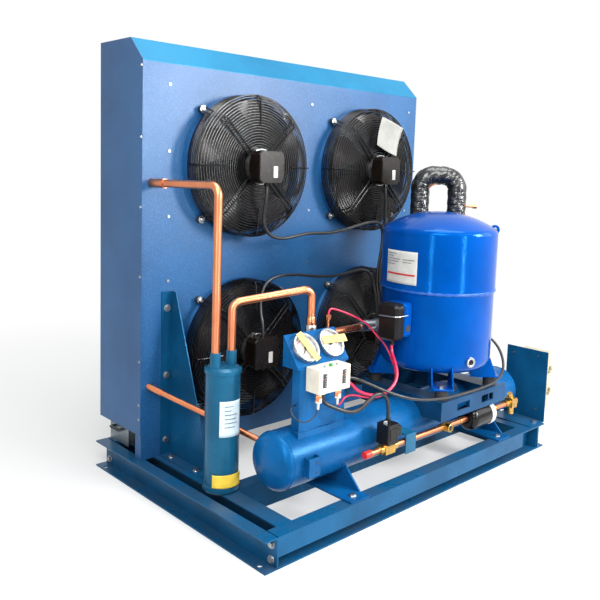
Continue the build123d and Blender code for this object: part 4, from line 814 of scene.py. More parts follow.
@dataclass
class Insulation:
    """The suction line's U of taped foam: a fat sleeve wound with overlapping turns."""

    start: tuple[float, float] = (0.3995, -0.1511)
    far: tuple[float, float] = (0.3258, -0.0532)
    low: float = 0.709
    top: float = 0.922
    end: float = 0.510
    radius: float = 0.0312
    turn: float = 0.017
    bend: float = 0.046
    step: float = 0.0018

    def build(self) -> None:
        """Sweep a circle whose radius is folded a little and pinched in once in each turn of tape."""
        route = [(*self.start, self.low), (*self.start, self.top), (*self.far, self.top), (*self.far, self.end)]
        line = evened(filleted(route, self.bend), self.step)
        side = np.array([self.far[0] - self.start[0], self.far[1] - self.start[1], 0.0])
        guide = np.cross(unit(side), UP)
        sides = 40
        gone = np.arange(len(line))[:, None] * self.step
        angle = around(sides)[None, :]
        phase = gone / self.turn + 0.18 * np.sin(angle + 0.7) + 0.25 * np.sin(90 * gone)
        saw = phase - np.floor(phase)
        fold = 0.0007 * np.sin(3 * angle + 37 * gone) + 0.0006 * np.sin(5 * angle - 191 * gone)
        pinch = -0.0017 * np.exp(-((saw - 0.5) / 0.10) ** 2) * (0.5 + 0.5 * np.sin(2 * angle + 31 * gone))
        grid = sweep(line, self.radius + fold + pinch, sides, tuple(guide))
        Piece("suction_sleeve", Coat.TAPE, replaces=("suction_insulation",)).grid(grid).make()


@dataclass
class Hose:
    """The braided vibration absorber with its two copper ends and steel ferrules."""

    x: float = LEFT + 0.315
    y: float = FRONT + 0.240
    low: float = 0.340
    high: float = 0.500

    def build(self) -> None:
        """Braid with a slow corrugation, rolled ferrules and copper sockets."""
        height = np.linspace(self.low + 0.016, self.high - 0.016, 90)
        swell = 0.0145 + 0.0006 * np.sin((height - self.low) * 2 * math.pi / 0.0095)
        profile = np.stack([swell, height], -1)
        profile = np.concatenate([[(0, profile[0, 1])], profile, [(0, profile[-1, 1])]])
        braid = Piece("absorber_braid", Coat.BRAID, replaces=("vibration_absorber",))
        braid.turned(profile, (self.x, self.y, 0), UP, 48).make()
        ferrules = Piece("absorber_ferrules", Coat.STEEL)
        sockets = Piece("absorber_sockets", Coat.COPPER)
        for base, way in ((self.low, 1), (self.high, -1)):
            ring = [(0, 0), (0.0145, 0), (0.0158, 0.0015), (0.016, 0.014), (0.0152, 0.018), (0.0148, 0.019),
                    (0, 0.019)]
            ferrules.turned([(r, base + way * h) for r, h in ring], (self.x, self.y, 0), UP, 48)
            socket = [(0, 0.001), (0.0132, 0.001), (0.0132, -0.019), (0.0118, -0.0235), (0, -0.0235)]
            sockets.turned([(r, base + way * h) for r, h in socket], (self.x, self.y, 0), UP, 40)
        ferrules.make()
        sockets.make()


@dataclass
class Gauges:
    """Dials, marks, bezels, lenses and strips of tape on the two pressure gauges."""

    joints: dict[str, dict]
    rise: float = 0.008

    def frame(self, name: str) -> tuple[np.ndarray, np.ndarray, np.ndarray, np.ndarray]:
        """Where a gauge sits.

        Args:
            name: low or high.

        Returns:
            The back of its case, across, up and the way it faces.
        """
        joint = self.joints[f"gauge_{name}_needle"]
        out = unit(joint["axis"])
        across = np.array([1.0, 0.0, 0.0])
        return np.asarray(joint["pos_m"]) - self.rise * out, across, np.cross(out, across), out

    def ticks(self, face: tuple, step: float, length: float, width: float, reach: float) -> list[np.ndarray]:
        """Marks round a dial, from -45 to 225 degrees.

        Args:
            face: where the gauge sits, as frame gives it.
            step: degrees between marks.
            length: length of a mark.
            width: width of a mark.
            reach: radius of its outer end.

        Returns:
            Grids of points.
        """
        back, across, up, out = face
        made = []
        for degrees in np.arange(-45, 225.1, step):
            (cosine, sine), _ = compass(degrees)
            way = cosine * across + sine * up
            spot = back + 0.0039 * out + (reach - length / 2) * way
            made.append(pad(spot, way, np.cross(out, way), (length, width, 0.0002), width / 3, 8))
        return made

    def build(self) -> None:
        """Build both gauges' faces."""
        dials = Piece("gauge_dials", Coat.DIAL)
        black = Piece("gauge_marks", Coat.BLACK_MARK)
        red = Piece("gauge_red_marks", Coat.RED_MARK)
        rims = Piece("gauge_bezels", Coat.STEEL)
        glass = Piece("gauge_lenses", Coat.CLEAR)
        tape = Piece("gauge_tape", Coat.CREAM_TAPE)
        disc = [(0, 0.0031), (0.0348, 0.0031), (0.0348, 0.0037), (0, 0.0037)]
        rim = [(0.0352, 0.0105), (0.0356, 0.0142), (0.0372, 0.0152), (0.0392, 0.0146), (0.0402, 0.0126),
               (0.0402, 0.0100), (0.0352, 0.0105)]
        dome = [(0, 0.0122), (0.018, 0.0121), (0.0352, 0.0117), (0.0352, 0.0108), (0, 0.0110)]
        for name, slant, shift in (("low", -71.0, (0.004, 0.0)), ("high", -3.0, (0.012, 0.007))):
            face = back, across, up, out = self.frame(name)
            for piece, profile in ((dials, disc), (rims, rim), (glass, dome)):
                piece.turned(profile, back, out, 64)
            black.grid(*self.ticks(face, 5.4, 0.0030, 0.0009, 0.0330))
            black.grid(*self.ticks(face, 27, 0.0065, 0.0018, 0.0330))
            red.grid(*self.ticks(face, 9, 0.0050, 0.0016, 0.0255))
            (cosine, sine), _ = compass(slant)
            way = cosine * across + sine * up
            spot = back + 0.0157 * out + shift[0] * across + shift[1] * up
            tape.padded(spot, way, np.cross(out, way), (0.086, 0.022, 0.0006), 0.001, 8)
        for piece in (dials, black, red, rims, glass, tape):
            piece.make()


@dataclass
class Labels:
    """Labels bent round the shells, with plain bars in place of words."""

    separator: tuple[float, float] = (-0.540, -0.107)

    def wrap(self, name: str, finish: Coat, axis: tuple[float, float], radius: float, span: tuple[float, float],
             heights: tuple[float, float], lean: float = 0.0) -> None:
        """A sheet on an upright cylinder: angle across, height up, lifted a little at its corners.

        Args:
            name: the piece's name.
            finish: its finish.
            axis: the cylinder's X and Y.
            radius: the cylinder's radius.
            span: first and last angle in degrees.
            heights: its foot and its top.
            lean: how much its right end is lower than its left.
        """
        share = np.linspace(0, 1, 33)[None, :]
        rise = np.linspace(0, 1, 13)[:, None]
        angle = np.radians(span[0] + share * (span[1] - span[0])) + 0 * rise
        curl = 0.0004 * (np.abs(2 * share - 1) ** 6 + np.abs(2 * rise - 1) ** 6)
        reach = radius + 0.0006 + curl
        height = heights[0] + rise * (heights[1] - heights[0]) - lean * share
        points = np.stack([axis[0] + reach * np.cos(angle), axis[1] + reach * np.sin(angle), height], -1)
        Piece(name, finish, solidify=SHEET).grid(points).make()

    def build(self) -> None:
        """Build the labels on the compressor and the separator."""
        self.wrap("compressor_label", Coat.PAPER, SHELL_AXIS, 0.1762, (157, 196), (0.600, 0.698))
        bars = ((159, 172), (159, 168), (159, 177), (159, 175), (159, 170), (180, 193), (180, 190))
        for row, (first, last) in enumerate(bars):
            height = 0.688 - 0.008 * (row if row < 5 else row - 3)
            self.wrap(f"label_line_{row}", Coat.DIAL_GREY, SHELL_AXIS, 0.1770, (first, last),
                      (height, height + 0.0016))
        self.wrap("label_band", Coat.RED_MARK, SHELL_AXIS, 0.1770, (159, 194), (0.626, 0.631))
        self.wrap("separator_label", Coat.PALE_LABEL, self.separator, 0.0466, (224, 300), (0.236, 0.331))
        for row, last in enumerate((268, 262, 284, 280, 286, 276)):
            height = 0.316 - 0.011 * row
            self.wrap(f"separator_line_{row}", Coat.DIAL_GREY, self.separator, 0.0474, (240, last),
                      (height, height + 0.002))
        self.wrap("separator_strip", Coat.YELLOW, self.separator, 0.0497, (205, 305), (0.100, 0.135))


@dataclass
class Welds:
    """Weld beads, each a rounded ring with the ripple that its passes leave, and the receiver's bracket."""

    def bead(self, piece: Piece, origin: tuple, axis: tuple, radius: float, size: float, ripples: int) -> None:
        """Add a rippled torus round an axis.

        Args:
            piece: the piece to add to.
            origin: the ring's centre.
            axis: its axis.
            radius: its radius.
            size: the bead's half width.
            ripples: how many passes show round it.
        """
        across, up, along = frame_of(axis)
        big = around(240)[:, None]
        small = around(8)[None, :]
        swell = size * (1 + 0.12 * np.sin(ripples * big))
        reach = radius + swell * 0.7 * np.cos(small)
        ring = np.cos(big)[..., None] * across + np.sin(big)[..., None] * up
        piece.grid(np.asarray(origin) + reach[..., None] * ring + (swell * np.sin(small))[..., None] * along)

    def build(self) -> None:
        """Beads on the compressor's seam and at both ends of the receiver, and the bracket with its holes, drawn as
        dark discs of painted shade.
        """
        seam = Piece("compressor_seam", Coat.BEAD)
        self.bead(seam, (*SHELL_AXIS, 0.5795), UP, 0.1751, 0.0046, 40)
        seam.make()
        ends = Piece("receiver_seams", Coat.TANK)
        for x in (LEFT + 0.079 + 0.037, LEFT + 1.182 - 0.037):
            self.bead(ends, (x, RECEIVER_Y, 0.186), RIGHT, 0.0760, 0.0020, 90)
        ends.make()
        bracket = Piece("receiver_bracket", Coat.TANK)
        x, z = LEFT + 0.1676, 0.1842
        face = RECEIVER_Y - 0.091
        bracket.padded((x, face, z), RIGHT, UP, (0.040, 0.050, 0.003), 0.003, 16)
        for side in (-1, 1):
            bracket.padded((x + side * 0.0185, face + 0.013, z), (0, 1, 0), UP, (0.030, 0.050, 0.003), 0.003, 16)
        bracket.make()
        # dark discs on the bracket's face: painted shade where its holes are
        shade_disc = [(0, 0), (0.003, 0), (0.003, -0.0004), (0, -0.0004)]
        shade_discs = Piece("receiver_bracket_holes", Coat.RUBBER_AND_HOLE_SHADE)
        for rise in (0.012, -0.014):
            shade_discs.turned(shade_disc, (x + 0.006, face - 0.0019, z + rise), (0, 1, 0), 16)
        shade_discs.make()


@dataclass
class LiquidLine:
    """Small parts of the liquid line: lens, band, solder rings, coil connector and nut, and two cabinet sockets."""

    def build(self) -> None:
        """Build the line's details."""
        lens = [(0, 0.0158), (0.005, 0.0154), (0.0088, 0.0140), (0.0088, 0.0125), (0, 0.0125)]
        spot = (LEFT + 0.672 + 0.017, LINE_Y - 0.008, LINE_Z)
        Piece("liquid_lens", Coat.GREEN_LENS).turned(lens, spot, AHEAD, 32).make()
        ring = [(0.0086, 0.0136), (0.0118, 0.0136), (0.0124, 0.0146), (0.0112, 0.0156), (0.0088, 0.0152),
                (0.0086, 0.0136)]
        Piece("liquid_lens_ring", Coat.BRASS).turned(ring, spot, AHEAD, 32).make()

        solder = Piece("solder_rings", Coat.BRASS)
        for x in (0.356, 0.390, 0.458, 0.672, 0.706, 0.766, 0.958):
            collar = [(0.0078, -0.003), (0.0098, -0.0022), (0.0106, 0), (0.0098, 0.0022), (0.0078, 0.003)]
            solder.turned(collar, (LEFT + x, LINE_Y, LINE_Z), RIGHT, 28)
        solder.make()
        sockets = Piece("cabinet_sockets", Coat.COPPER)
        sockets.grid(sweep(np.array([(LEFT + 0.0121, 0.1785, 0.8780), (LEFT + 0.0155, 0.1180, 0.8788)]), 0.0130, 32))
        sockets.grid(sweep(np.array([(LEFT + 0.0077, 0.1777, 0.2955), (LEFT + 0.0243, 0.1356, 0.2844)]), 0.0098, 28))
        sockets.make()

        band = [(0.0383, -0.010), (0.0389, -0.010), (0.0389, 0.010), (0.0383, 0.010), (0.0383, -0.010)]
        Piece("drier_band", Coat.PAPER).turned(band, (LEFT + 0.902, LINE_Y, LINE_Z), RIGHT, 64).make()

        x = LEFT + 0.424
        plug = Piece("coil_connector", Coat.ABS)
        plug.padded((x + 0.034, LINE_Y, 0.222), (0, 1, 0), UP, (0.028, 0.030, 0.022), 0.004, 24, 0.002)
        plug.padded((x, LINE_Y - 0.0225, 0.222), RIGHT, UP, (0.030, 0.034, 0.002), 0.003, 24)
        plug.make()
        nut = [(0, 0.008), (0.004, 0.008), (0.0062, 0.006), (0.0064, 0), (0, 0)]
        Piece("coil_nut", Coat.ZINC).turned(nut, (x - 0.012, LINE_Y, 0.2503), UP, 6).make()


@dataclass
class SightGlass:
    """Lens and clamp ring of the compressor's oil sight glass."""

    angle: float = 254.0
    reach: float = 0.1748
    z: float = 0.377

    def build(self) -> None:
        """Build a dark oil lens in a bright ring."""
        way = (*compass(self.angle)[0], 0.0)
        spot = (SHELL_AXIS[0] + self.reach * way[0], SHELL_AXIS[1] + self.reach * way[1], self.z)
        lens = [(0, 0.0030), (0.005, 0.0026), (0.0089, 0.0012), (0.0089, 0), (0, 0)]
        Piece("oil_lens", Coat.GREEN_LENS).turned(lens, spot, way, 32).make()
        ring = [(0.0088, 0.0035), (0.0104, 0.0044), (0.0134, 0.0044), (0.0152, 0.0034), (0.0152, 0.001),
                (0.0088, 0.001), (0.0088, 0.0035)]
        Piece("oil_lens_ring", Coat.STEEL).turned(ring, spot, way, 40).make()


@dataclass
class PressureSwitch:
    """Dark scale windows with marks and pointers, flare nuts and capillary sleeves on the pressure switch."""

    x0: float = LEFT + 0.177
    face: float = FRONT + 0.061
    z0: float = 0.369

    def build(self) -> None:
        """Build the windows in their recesses and the small parts round them."""
        windows = Piece("switch_windows", Coat.BLACK_MARK)
        pointers = Piece("switch_pointers", Coat.RED_MARK)
        scale = Piece("switch_scale", Coat.DIAL)
        for x in (self.x0 + 0.020, self.x0 + 0.090):
            z = self.z0 + 0.033
            windows.padded((x, self.face + 0.0012, z), RIGHT, UP, (0.0156, 0.0376, 0.0006), 0.001, 8)
            for step in range(8):
                spot = (x + 0.0045, self.face + 0.0007, z - 0.015 + step * 0.0043)
                scale.padded(spot, RIGHT, UP, (0.004, 0.0007, 0.0003), 0.0003, 8)
            pointers.padded((x - 0.003, self.face + 0.0007, z + 0.004), RIGHT, UP, (0.008, 0.0014, 0.0004), 0.0005, 8)
        windows.make()
        pointers.make()
        scale.make()
        nuts = Piece("flare_nuts", Coat.COPPER)
        sleeves = Piece("capillary_sleeves", Coat.PAPER)
        nut = [(0, 0.0), (0.0085, 0.0), (0.0092, -0.0012), (0.0092, -0.0150), (0.0075, -0.0175), (0.0050, -0.0215),
               (0, -0.0215)]
        tube = [(0, 0), (0.0034, 0), (0.0036, -0.001), (0.0034, -0.016), (0.0026, -0.018), (0, -0.018)]
        for x in (self.x0 + 0.014, self.x0 + 0.084):
            nuts.turned(nut, (x, self.face + 0.0163, self.z0 - 0.0062), UP, 6)
            sleeves.turned(tube, (x, self.face + 0.0163, self.z0 - 0.0262), UP, 20)
        nuts.make()
        sleeves.make()


@dataclass
class TerminalBox:
    """The compressor's terminal box: a rounded black cover on a blue bracket, held by a wire clip."""

    x: float = LEFT + 0.541
    y: float = FRONT + 0.162
    z: float = 0.494

    def build(self) -> None:
        """Build the cover with its lid seam and gland, the bracket, its hole as a dark disc of painted shade, and the
        clip.
        """
        cover = Piece("terminal_cover", Coat.ABS, replaces=("terminal_box",))
        cover.padded((self.x + 0.020, self.y - 0.006, self.z), AHEAD, UP, (0.074, 0.111, 0.038), 0.016, 48, 0.007)
        cover.padded((self.x + 0.032, self.y - 0.006, self.z), AHEAD, UP, (0.075, 0.112, 0.004), 0.017, 48, 0.001)
        gland = [(0, 0), (0.011, 0), (0.011, -0.006), (0.0085, -0.008), (0.0085, -0.016), (0, -0.016)]
        cover.turned(gland, (self.x + 0.035, self.y, 0.438), UP, 24)
        cover.make()
        bracket = Piece("terminal_bracket", Coat.SHELL)
        middle = (self.x + 0.056, self.y - 0.006, self.z + 0.004)
        bracket.padded(middle, AHEAD, UP, (0.072, 0.104, 0.034), 0.012, 40, 0.003)
        bracket.make()
        # a dark disc on the bracket's face: painted shade where its hole is
        shade_disc = [(0, 0.0004), (0.0105, 0.0004), (0.0105, -0.002), (0, -0.002)]
        Piece("terminal_hole", Coat.RUBBER_AND_HOLE_SHADE).turned(shade_disc, (self.x + 0.056, self.y - 0.0420, 0.474), AHEAD, 32).make()
        route = [(self.x + 0.050, self.y - 0.0440, 0.514), (self.x - 0.0008, self.y - 0.0440, 0.514),
                 (self.x - 0.0008, self.y + 0.0320, 0.510), (self.x + 0.030, self.y + 0.0320, 0.510)]
        line = evened(filleted(route, 0.014), 0.003)
        Piece("terminal_clip", Coat.STEEL).grid(sweep(line, 0.0019, 8, UP)).make()


@dataclass
class Compressor:
    """The hermetic shell: a deep lower pan, an upper shell that laps over it, feet, lugs and ports."""

    axis: tuple[float, float] = SHELL_AXIS
    lower: float = 0.173
    upper: float = 0.176
    seam: float = 0.578
    shoulder: float = 0.748
    top: float = 0.813
    bottom: float = 0.338
    knuckle: float = 0.022
    foot: float = 0.127
    foot_z: float = 0.3025

    def profile(self) -> np.ndarray:
        """Radius and height from the bottom's middle to the dome's: pan, lap, wall, knuckle arc, crown arc.

        Returns:
            Points of the profile.
        """
        pan = math.pi / 2 * np.linspace(0, 1, 9)
        corner = 0.034
        low = np.stack([self.lower - corner + corner * np.sin(pan), self.bottom + corner * (1 - np.cos(pan))], -1)
        lap = [(self.lower, self.seam - 0.010), (self.lower + 0.0012, self.seam - 0.004),
               (self.upper + 0.0015, self.seam), (self.upper + 0.0012, self.seam + 0.005),
               (self.upper, self.seam + 0.012)]
        wall = [(self.upper, self.seam + 0.06), (self.upper, self.shoulder - 0.03)]
        turn = math.radians(60) * np.linspace(0, 1, 12)
        centre = self.upper - self.knuckle
        bend = np.stack([centre + self.knuckle * np.cos(turn), self.shoulder + self.knuckle * np.sin(turn)], -1)
        rise = self.top - bend[-1, 1]
        radius = (bend[-1, 0] ** 2 + rise ** 2) / (2 * rise)
        across = bend[-1, 0] * (1 - np.linspace(0, 1, 15)[1:])
        crown = np.stack([across, self.top - radius + np.sqrt(radius ** 2 - across ** 2)], -1)
        return np.concatenate([[(0, self.bottom)], low, lap, wall, bend, crown])

    def build(self) -> None:
        """Build the shell with its ports, and the feet and lugs."""
        x, y = self.axis
        shell = Piece("compressor_body", Coat.SHELL, replaces=("compressor_shell",))
        shell.turned(self.profile(), (x, y, 0), UP, 128)
        start = 0.150
        ports = ((20.6, 0.664, 0.0225, 0.192), (153.7, 0.460, 0.017, 0.192), (254.0, 0.377, 0.017, 0.1695))
        for angle, height, radius, reach in ports:
            collar = [(radius + 0.004, start), (radius + 0.004, self.lower + 0.001), (radius, self.lower + 0.006)]
            if reach < self.lower + 0.01:
                collar = [(radius, start)]
            spud = [(0, start), *collar, (radius, reach), (0, reach)]
            shell.turned(spud, (x, y, height), (*compass(angle)[0], 0.0), 40)
        shell.make()
        feet = Piece("compressor_feet", Coat.SHELL)
        reach = self.foot * math.sqrt(2)
        web = [(0.112, 0.300), (reach + 0.008, 0.300), (reach + 0.012, 0.310), (0.172, 0.362), (0.150, 0.354),
               (0.112, 0.342)]
        for corner in CORNERS:
            way, side = ((*flat, 0.0) for flat in compass(corner))
            spot = (x + (reach - 0.020) * way[0], y + (reach - 0.020) * way[1], self.foot_z)
            feet.padded(spot, side, way, (0.066, 0.088, 0.005), 0.012, 24, 0.001)
            for sign in (-1, 1):
                origin = (x + sign * 0.0305 * side[0], y + sign * 0.0305 * side[1], 0.0)
                feet.grid(prism(web, origin, way, UP, 0.005))
        feet.make()
        lugs = Piece("lifting_lugs", Coat.SHELL)
        eye = [(0.0070, -0.004), (0.0145, -0.004), (0.0150, -0.003), (0.0150, 0.003), (0.0145, 0.004),
               (0.0070, 0.004), (0.0070, -0.004)]
        for degrees in (-40.0, 74.0):
            way, side = ((*flat, 0.0) for flat in compass(degrees))
            spot = (x + 0.173 * way[0], y + 0.173 * way[1], 0.760)
            lugs.turned(eye, spot, side, 36)
            lugs.padded((spot[0], spot[1], 0.733), way, UP, (0.022, 0.036, 0.008), 0.003, 16, 0.001)
        lugs.make()


@dataclass
class Drier:
    """The filter drier: a drawn steel can with spun shoulders and copper stubs."""

    low: float = LEFT + 0.766
    high: float = LEFT + 0.958
    radius: float = 0.0385

    def build(self) -> None:
        """Build the can and its stubs."""
        turn = math.pi / 2 * np.linspace(0, 1, 8)
        bulge = 0.020
        left = self.low + 0.034
        right = self.high - 0.034
        head = np.stack([self.radius - bulge + bulge * np.sin(turn), left + 0.016 * (1 - np.cos(turn))], -1)
        tail = np.stack([self.radius - bulge + bulge * np.cos(turn), right - 0.016 * (1 - np.sin(turn))], -1)
        neck = [(0.0, left - 0.004), (0.0125, left - 0.004), (0.0135, left)]
        end = [(0.0135, right), (0.0125, right + 0.004), (0.0, right + 0.004)]
        can = Piece("drier_can", Coat.DRIER, replaces=("filter_drier",))
        can.turned(np.concatenate([neck, head, tail, end]), (0, LINE_Y, LINE_Z), RIGHT, 64).make()
        stubs = Piece("drier_stubs", Coat.COPPER)
        for near, far in ((self.low, left), (right, self.high)):
            stub = [(0, near), (0.0098, near), (0.0098, far), (0, far)]
            stubs.turned(stub, (0, LINE_Y, LINE_Z), RIGHT, 28)
        stubs.make()


@dataclass
class Leads:
    """The unit's wiring, each lead one smooth curve held at both its ends.

    A route's points are in millimetres from the base's left web and front, with their height above the floor, and
    build turns them into metres in the row's frame.
    """

    routes: dict[str, tuple[Coat, float, tuple]] = field(default_factory=lambda: {
        "high_capillary": (Coat.RED_LEAD, 0.0028, (
            (261, 77.3, 343), (261, 77.3, 322), (286, 92, 316), (318, 102, 330), (354, 99, 326),
            (400, 100, 309), (454, 102, 299), (500, 103, 305), (534, 107, 328), (548, 119, 355),
            (565, 145, 374), (574, 166, 392), (572, 186, 420), (562, 214, 444), (552, 228, 466),
            (520, 238, 490), (470, 252, 514), (424, 262, 530), (410, 263.2, 529), (407, 263.2, 514),
        )),
        "low_capillary": (Coat.LEADS, 0.0016, (
            (191, 77.3, 343), (191, 77.3, 322), (178, 82, 300), (152, 90, 294), (132, 104, 308),
            (134, 124, 332), (157.7, 124, 332),
        )),
        "upper_fan_lead": (Coat.LEADS, 0.0052, (
            (331.3, 463.5, 874.4), (331.3, 461.5, 845), (338, 482, 795), (345, 487, 752),
            (372, 487, 722), (420, 487, 712), (480, 487, 719), (541, 487, 727), (610, 487, 722),
            (690, 487, 729), (760, 487, 744), (829, 487, 756), (880, 487, 752), (899, 487, 712),
            (893, 487, 650), (880, 487, 590), (876, 485, 530), (873, 468, 470), (873, 470, 419.2),
        )),
        "right_fan_lead": (Coat.LEADS, 0.0046, (
            (873.4, 463.5, 874.4), (873.4, 460.5, 845), (886, 473, 795), (897, 478, 750),
            (900, 478, 700), (894, 478, 645), (881, 478, 588), (880, 477, 530), (886, 463, 470),
            (886, 466, 419.2),
        )),
        "lower_fan_lead": (Coat.LEADS, 0.0046, (
            (331.3, 463.5, 419.2), (331.3, 462, 450), (334, 480.5, 495), (340, 487.5, 540),
            (358, 487.5, 580), (397, 487.5, 596), (450, 487.5, 598), (503, 487.5, 594),
            (565, 487.5, 584), (630, 487.5, 578), (688, 487.5, 579), (740, 487.5, 587),
            (790, 487.5, 592), (835, 487.5, 580), (855, 484.5, 540), (860, 468.5, 474),
            (860, 470, 419.2),
        )),
        "switch_lead": (Coat.LEADS, 0.0055, (
            (220, 91.7, 357), (220, 91.7, 335), (250, 80, 318), (290, 66, 300), (322, 54, 300),
            (344, 44, 324), (375, 39, 342), (408, 38, 332), (424, 38, 300), (424, 38, 262.3),
        )),
        "heater_lead": (Coat.LEADS, 0.0043, (
            (291, 82, 388), (316, 82, 388), (352, 56, 370), (400, 28, 344), (465, 4, 318),
            (535, -3, 302), (600, -4, 293), (665, -4, 288), (730, -4, 286), (800, -4, 285),
            (865, -4, 288), (920, 0, 298), (962, 14, 318), (988, 36, 346), (994, 60, 378),
            (972, 80, 407), (936.8, 92.2, 420),
        )),
        "box_lead": (Coat.RED_LEAD, 0.0044, (
            (576, 162, 422), (576, 162, 402), (564, 140, 382), (547, 114, 362), (534, 102, 335),
            (500, 98, 312), (455, 97, 306), (400, 95, 318), (352, 93, 340), (322, 95, 372),
            (291, 95, 372),
        )),
    })

    def build(self) -> None:
        """Build each lead as a bevelled NURBS curve."""
        for name, (finish, radius, points) in self.routes.items():
            curve = bpy.data.curves.new(name, "CURVE")
            curve.dimensions = "3D"
            curve.bevel_depth = radius
            curve.bevel_resolution = 4
            curve.resolution_u = 10
            curve.use_fill_caps = True
            spline = curve.splines.new("NURBS")
            spline.points.add(len(points) - 1)
            spots = np.array(points, float) / 1000 + (LEFT, FRONT, 0.0)
            spline.points.foreach_set("co", np.concatenate([spots, np.ones((len(spots), 1))], 1).reshape(-1))
            spline.order_u = 3
            spline.use_endpoint_u = True
            curve.materials.append(coat(finish))
            thing = placed(name, curve)
            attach(thing, "unit")
            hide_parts("capillaries" if name.endswith("capillary") else "cables")
            LOG.info("made %s, radius %.1f mm", name, radius * 1000)


@dataclass
class Washers:
    """Plain washers under the hexagon heads on the base."""

    def build(self) -> None:
        """Build one piece with every washer."""
        made = Piece("washers", Coat.ZINC)
        disc = [(0.0, 0.0), (0.0104, 0.0), (0.0112, 0.0006), (0.0108, 0.0013), (0.0, 0.0013)]
        spots = []
        for side in (-1, 1):
            for y in (FRONT + 0.021, -FRONT - 0.021):
                spots += [((side * 0.598, y, z), (side, 0, 0)) for z in (0.018, 0.056)]
            spots += [((side * 0.529, FRONT + y, 0.083), UP) for y in (0.424, 0.549)]
            spots += [((side * 0.529, PANEL_Y - 0.003, z), AHEAD) for z in (0.126, 0.321, 0.519)]
        for x in (0.320 - 0.034, 1.013 - 0.034):
            spots += [((LEFT + x, FRONT + y, 0.085), UP) for y in (0.032, 0.282)]
        for spot, way in spots:
            made.turned(disc, spot, way, 20)
        made.make()


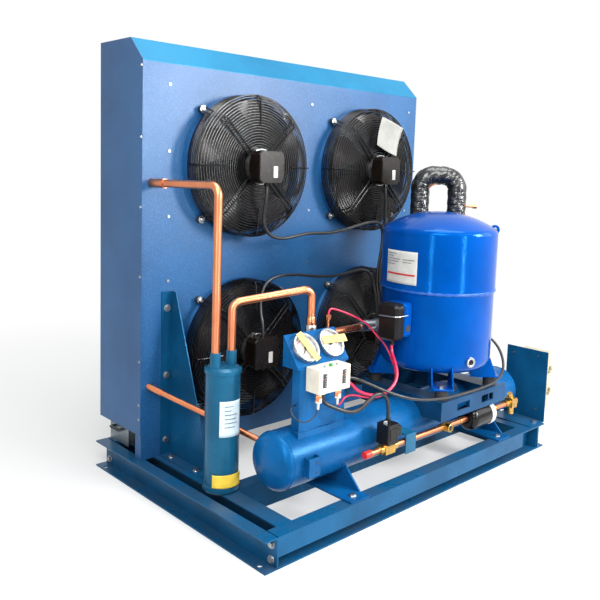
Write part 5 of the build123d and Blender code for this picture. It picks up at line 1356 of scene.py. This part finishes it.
# ------------------------------------------------------------------ studio
@dataclass
class Studio:
    """A pale floor that fades to white, a plain sky, seven soft lamps and the camera."""

    eye: tuple[float, float, float] = (-1.679737, -1.592260, 0.932494)
    forward: tuple[float, float, float] = (0.682118, 0.722686, -0.111532)
    right: tuple[float, float, float] = (0.729295, -0.683465, 0.031691)
    lens: float = 43.864
    shift: float = -0.0833
    sensor: float = 36.0
    sink: float = 0.0005

    def camera(self) -> None:
        """Set the camera from its eye and two of its axes."""
        back = -unit(self.forward)
        right = unit(self.right)
        up = np.cross(back, right)
        data = bpy.data.cameras.new("camera")
        data.lens = self.lens
        data.sensor_width = self.sensor
        data.shift_y = self.shift
        data.clip_start, data.clip_end = 0.05, 60.0
        thing = placed("camera", data)
        matrix = np.eye(4)
        matrix[:3, 0], matrix[:3, 1], matrix[:3, 2], matrix[:3, 3] = right, up, back, self.eye
        thing.matrix_world = Matrix(matrix.tolist())
        bpy.context.scene.camera = thing

    def lamp(self, name: str, spot: tuple, target: tuple, size: tuple[float, float], power: float) -> None:
        """Add one soft lamp.

        Args:
            name: its name.
            spot: where it is.
            target: what it points at.
            size: its width and height.
            power: its power in watts.
        """
        data = bpy.data.lights.new(name, "AREA")
        data.shape = "RECTANGLE"
        data.size, data.size_y = size
        data.energy = power
        thing = placed(name, data)
        way = Vector(spot) - Vector(target)
        thing.rotation_mode = "QUATERNION"
        thing.rotation_quaternion = way.to_track_quat("Z", "Y")
        thing.location = spot

    def sky(self) -> None:
        """White to the camera and to reflections, and a soft even light on the object."""
        world = bpy.data.worlds.new("sky")
        bpy.context.scene.world = world
        tree = cleared(world)
        path = add(tree, "LightPath").node.outputs
        seen = add(tree, "Math", {0: path["Is Camera Ray"], 1: path["Is Glossy Ray"]}, operation="ADD")
        seen = add(tree, "Math", {0: seen, 1: path["Is Transmission Ray"]}, operation="ADD", use_clamp=True)
        white = add(tree, "Background", {"Color": (1, 1, 1, 1), "Strength": 1.0})
        soft = add(tree, "Background", {"Color": srgb("#e9eef2"), "Strength": 0.3})
        mixed = add(tree, "MixShader", {0: seen, 1: soft, 2: white})
        add(tree, "OutputWorld", {"Surface": mixed})

    def floor(self) -> None:
        """A disc just under the feet, whose far part is white to the camera, so that no horizon shows."""
        reach = np.concatenate([[0.0], np.geomspace(0.4, 30.0, 24)])
        angle = around(64)
        points = np.stack([reach[:, None] * np.cos(angle), reach[:, None] * np.sin(angle),
                           np.full((len(reach), len(angle)), -self.sink)], -1)
        mesh = bpy.data.meshes.new("floor")
        index = np.arange(points[..., 0].size).reshape(-1, len(angle))
        mesh.from_pydata(points.reshape(-1, 3).tolist(), [], quads(index)[:, ::-1].tolist())
        thing = placed("floor", mesh)
        material = bpy.data.materials.new("floor_paper")
        tree = cleared(material)
        place = add(tree, "TexCoord", out="Object")
        far = add(tree, "VectorMath", {0: place}, "Value", operation="LENGTH")
        share = add(tree, "MapRange", {"Value": far, "From Min": 0.9, "From Max": 2.6, "To Min": 0.35, "To Max": 1.0},
            interpolation_type="SMOOTHSTEP")
        path = add(tree, "LightPath").node.outputs
        rays = add(tree, "Math", {0: path["Is Camera Ray"], 1: path["Is Glossy Ray"]}, operation="MAXIMUM")
        level = add(tree, "Math", {0: share, 1: rays}, operation="MULTIPLY")
        paper = add(tree, "BsdfDiffuse", {"Color": srgb("#e4e5e4")})
        glow = add(tree, "Emission", {"Color": (1, 1, 1, 1), "Strength": 1.0})
        mixed = add(tree, "MixShader", {0: level, 1: paper, 2: glow})
        add(tree, "OutputMaterial", {"Surface": mixed})
        mesh.materials.append(material)

    def build(self) -> None:
        """Set the stage."""
        self.camera()
        self.lamp("key", (-2.6, -2.2, 3.0), (0, -0.1, 0.5), (1.8, 1.8), 130)
        self.lamp("fill", (2.6, -2.4, 1.8), (0, -0.1, 0.5), (2.0, 2.0), 30)
        self.lamp("overhead", (0.0, -0.6, 3.6), (0, 0, 0.4), (2.2, 2.2), 115)
        self.lamp("strip_front", (-0.07, -2.83, 0.9), (0.19, -0.24, 0.55), (0.06, 1.8), 28)
        self.lamp("strip_left", (-2.40, -1.31, 1.0), (0.19, -0.24, 0.55), (0.05, 1.6), 18)
        self.lamp("strip_long", (-0.2, -2.2, 2.2), (-0.2, -0.25, 0.19), (2.8, 0.10), 14)
        self.lamp("sheen", (1.30, -2.40, 1.55), (-0.45, 0.1, 1.1), (0.6, 0.9), 110)
        self.sky()
        self.floor()
        bpy.context.scene.view_settings.view_transform = "Standard"


def main() -> None:
    """Load the frame, dress it, build each sub-assembly and set the stage."""
    logging.basicConfig(level=logging.INFO, format="%(message)s")
    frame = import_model()
    joints = {joint["name"]: joint for joint in frame["record"]["behaviour"]["joints"]}
    centres = [np.array([joints[f"fan_{n}_spin"]["pos_m"][0], PANEL_Y, joints[f"fan_{n}_spin"]["pos_m"][2]])
               for n in range(1, 5)]
    Studio().build()
    Finishes(frame["nodes"]).dress()
    for part in (FanGuards(centres), MotorPlates(centres), Insulation(), Hose(), Gauges(joints), Labels(), Welds(),
                 LiquidLine(), SightGlass(), PressureSwitch(), TerminalBox(), Compressor(), Drier(), Leads(),
                 Washers()):
        part.build()
        LOG.info("built %s", type(part).__name__)
    bpy.context.view_layer.update()


if __name__ == "__main__":
    main()
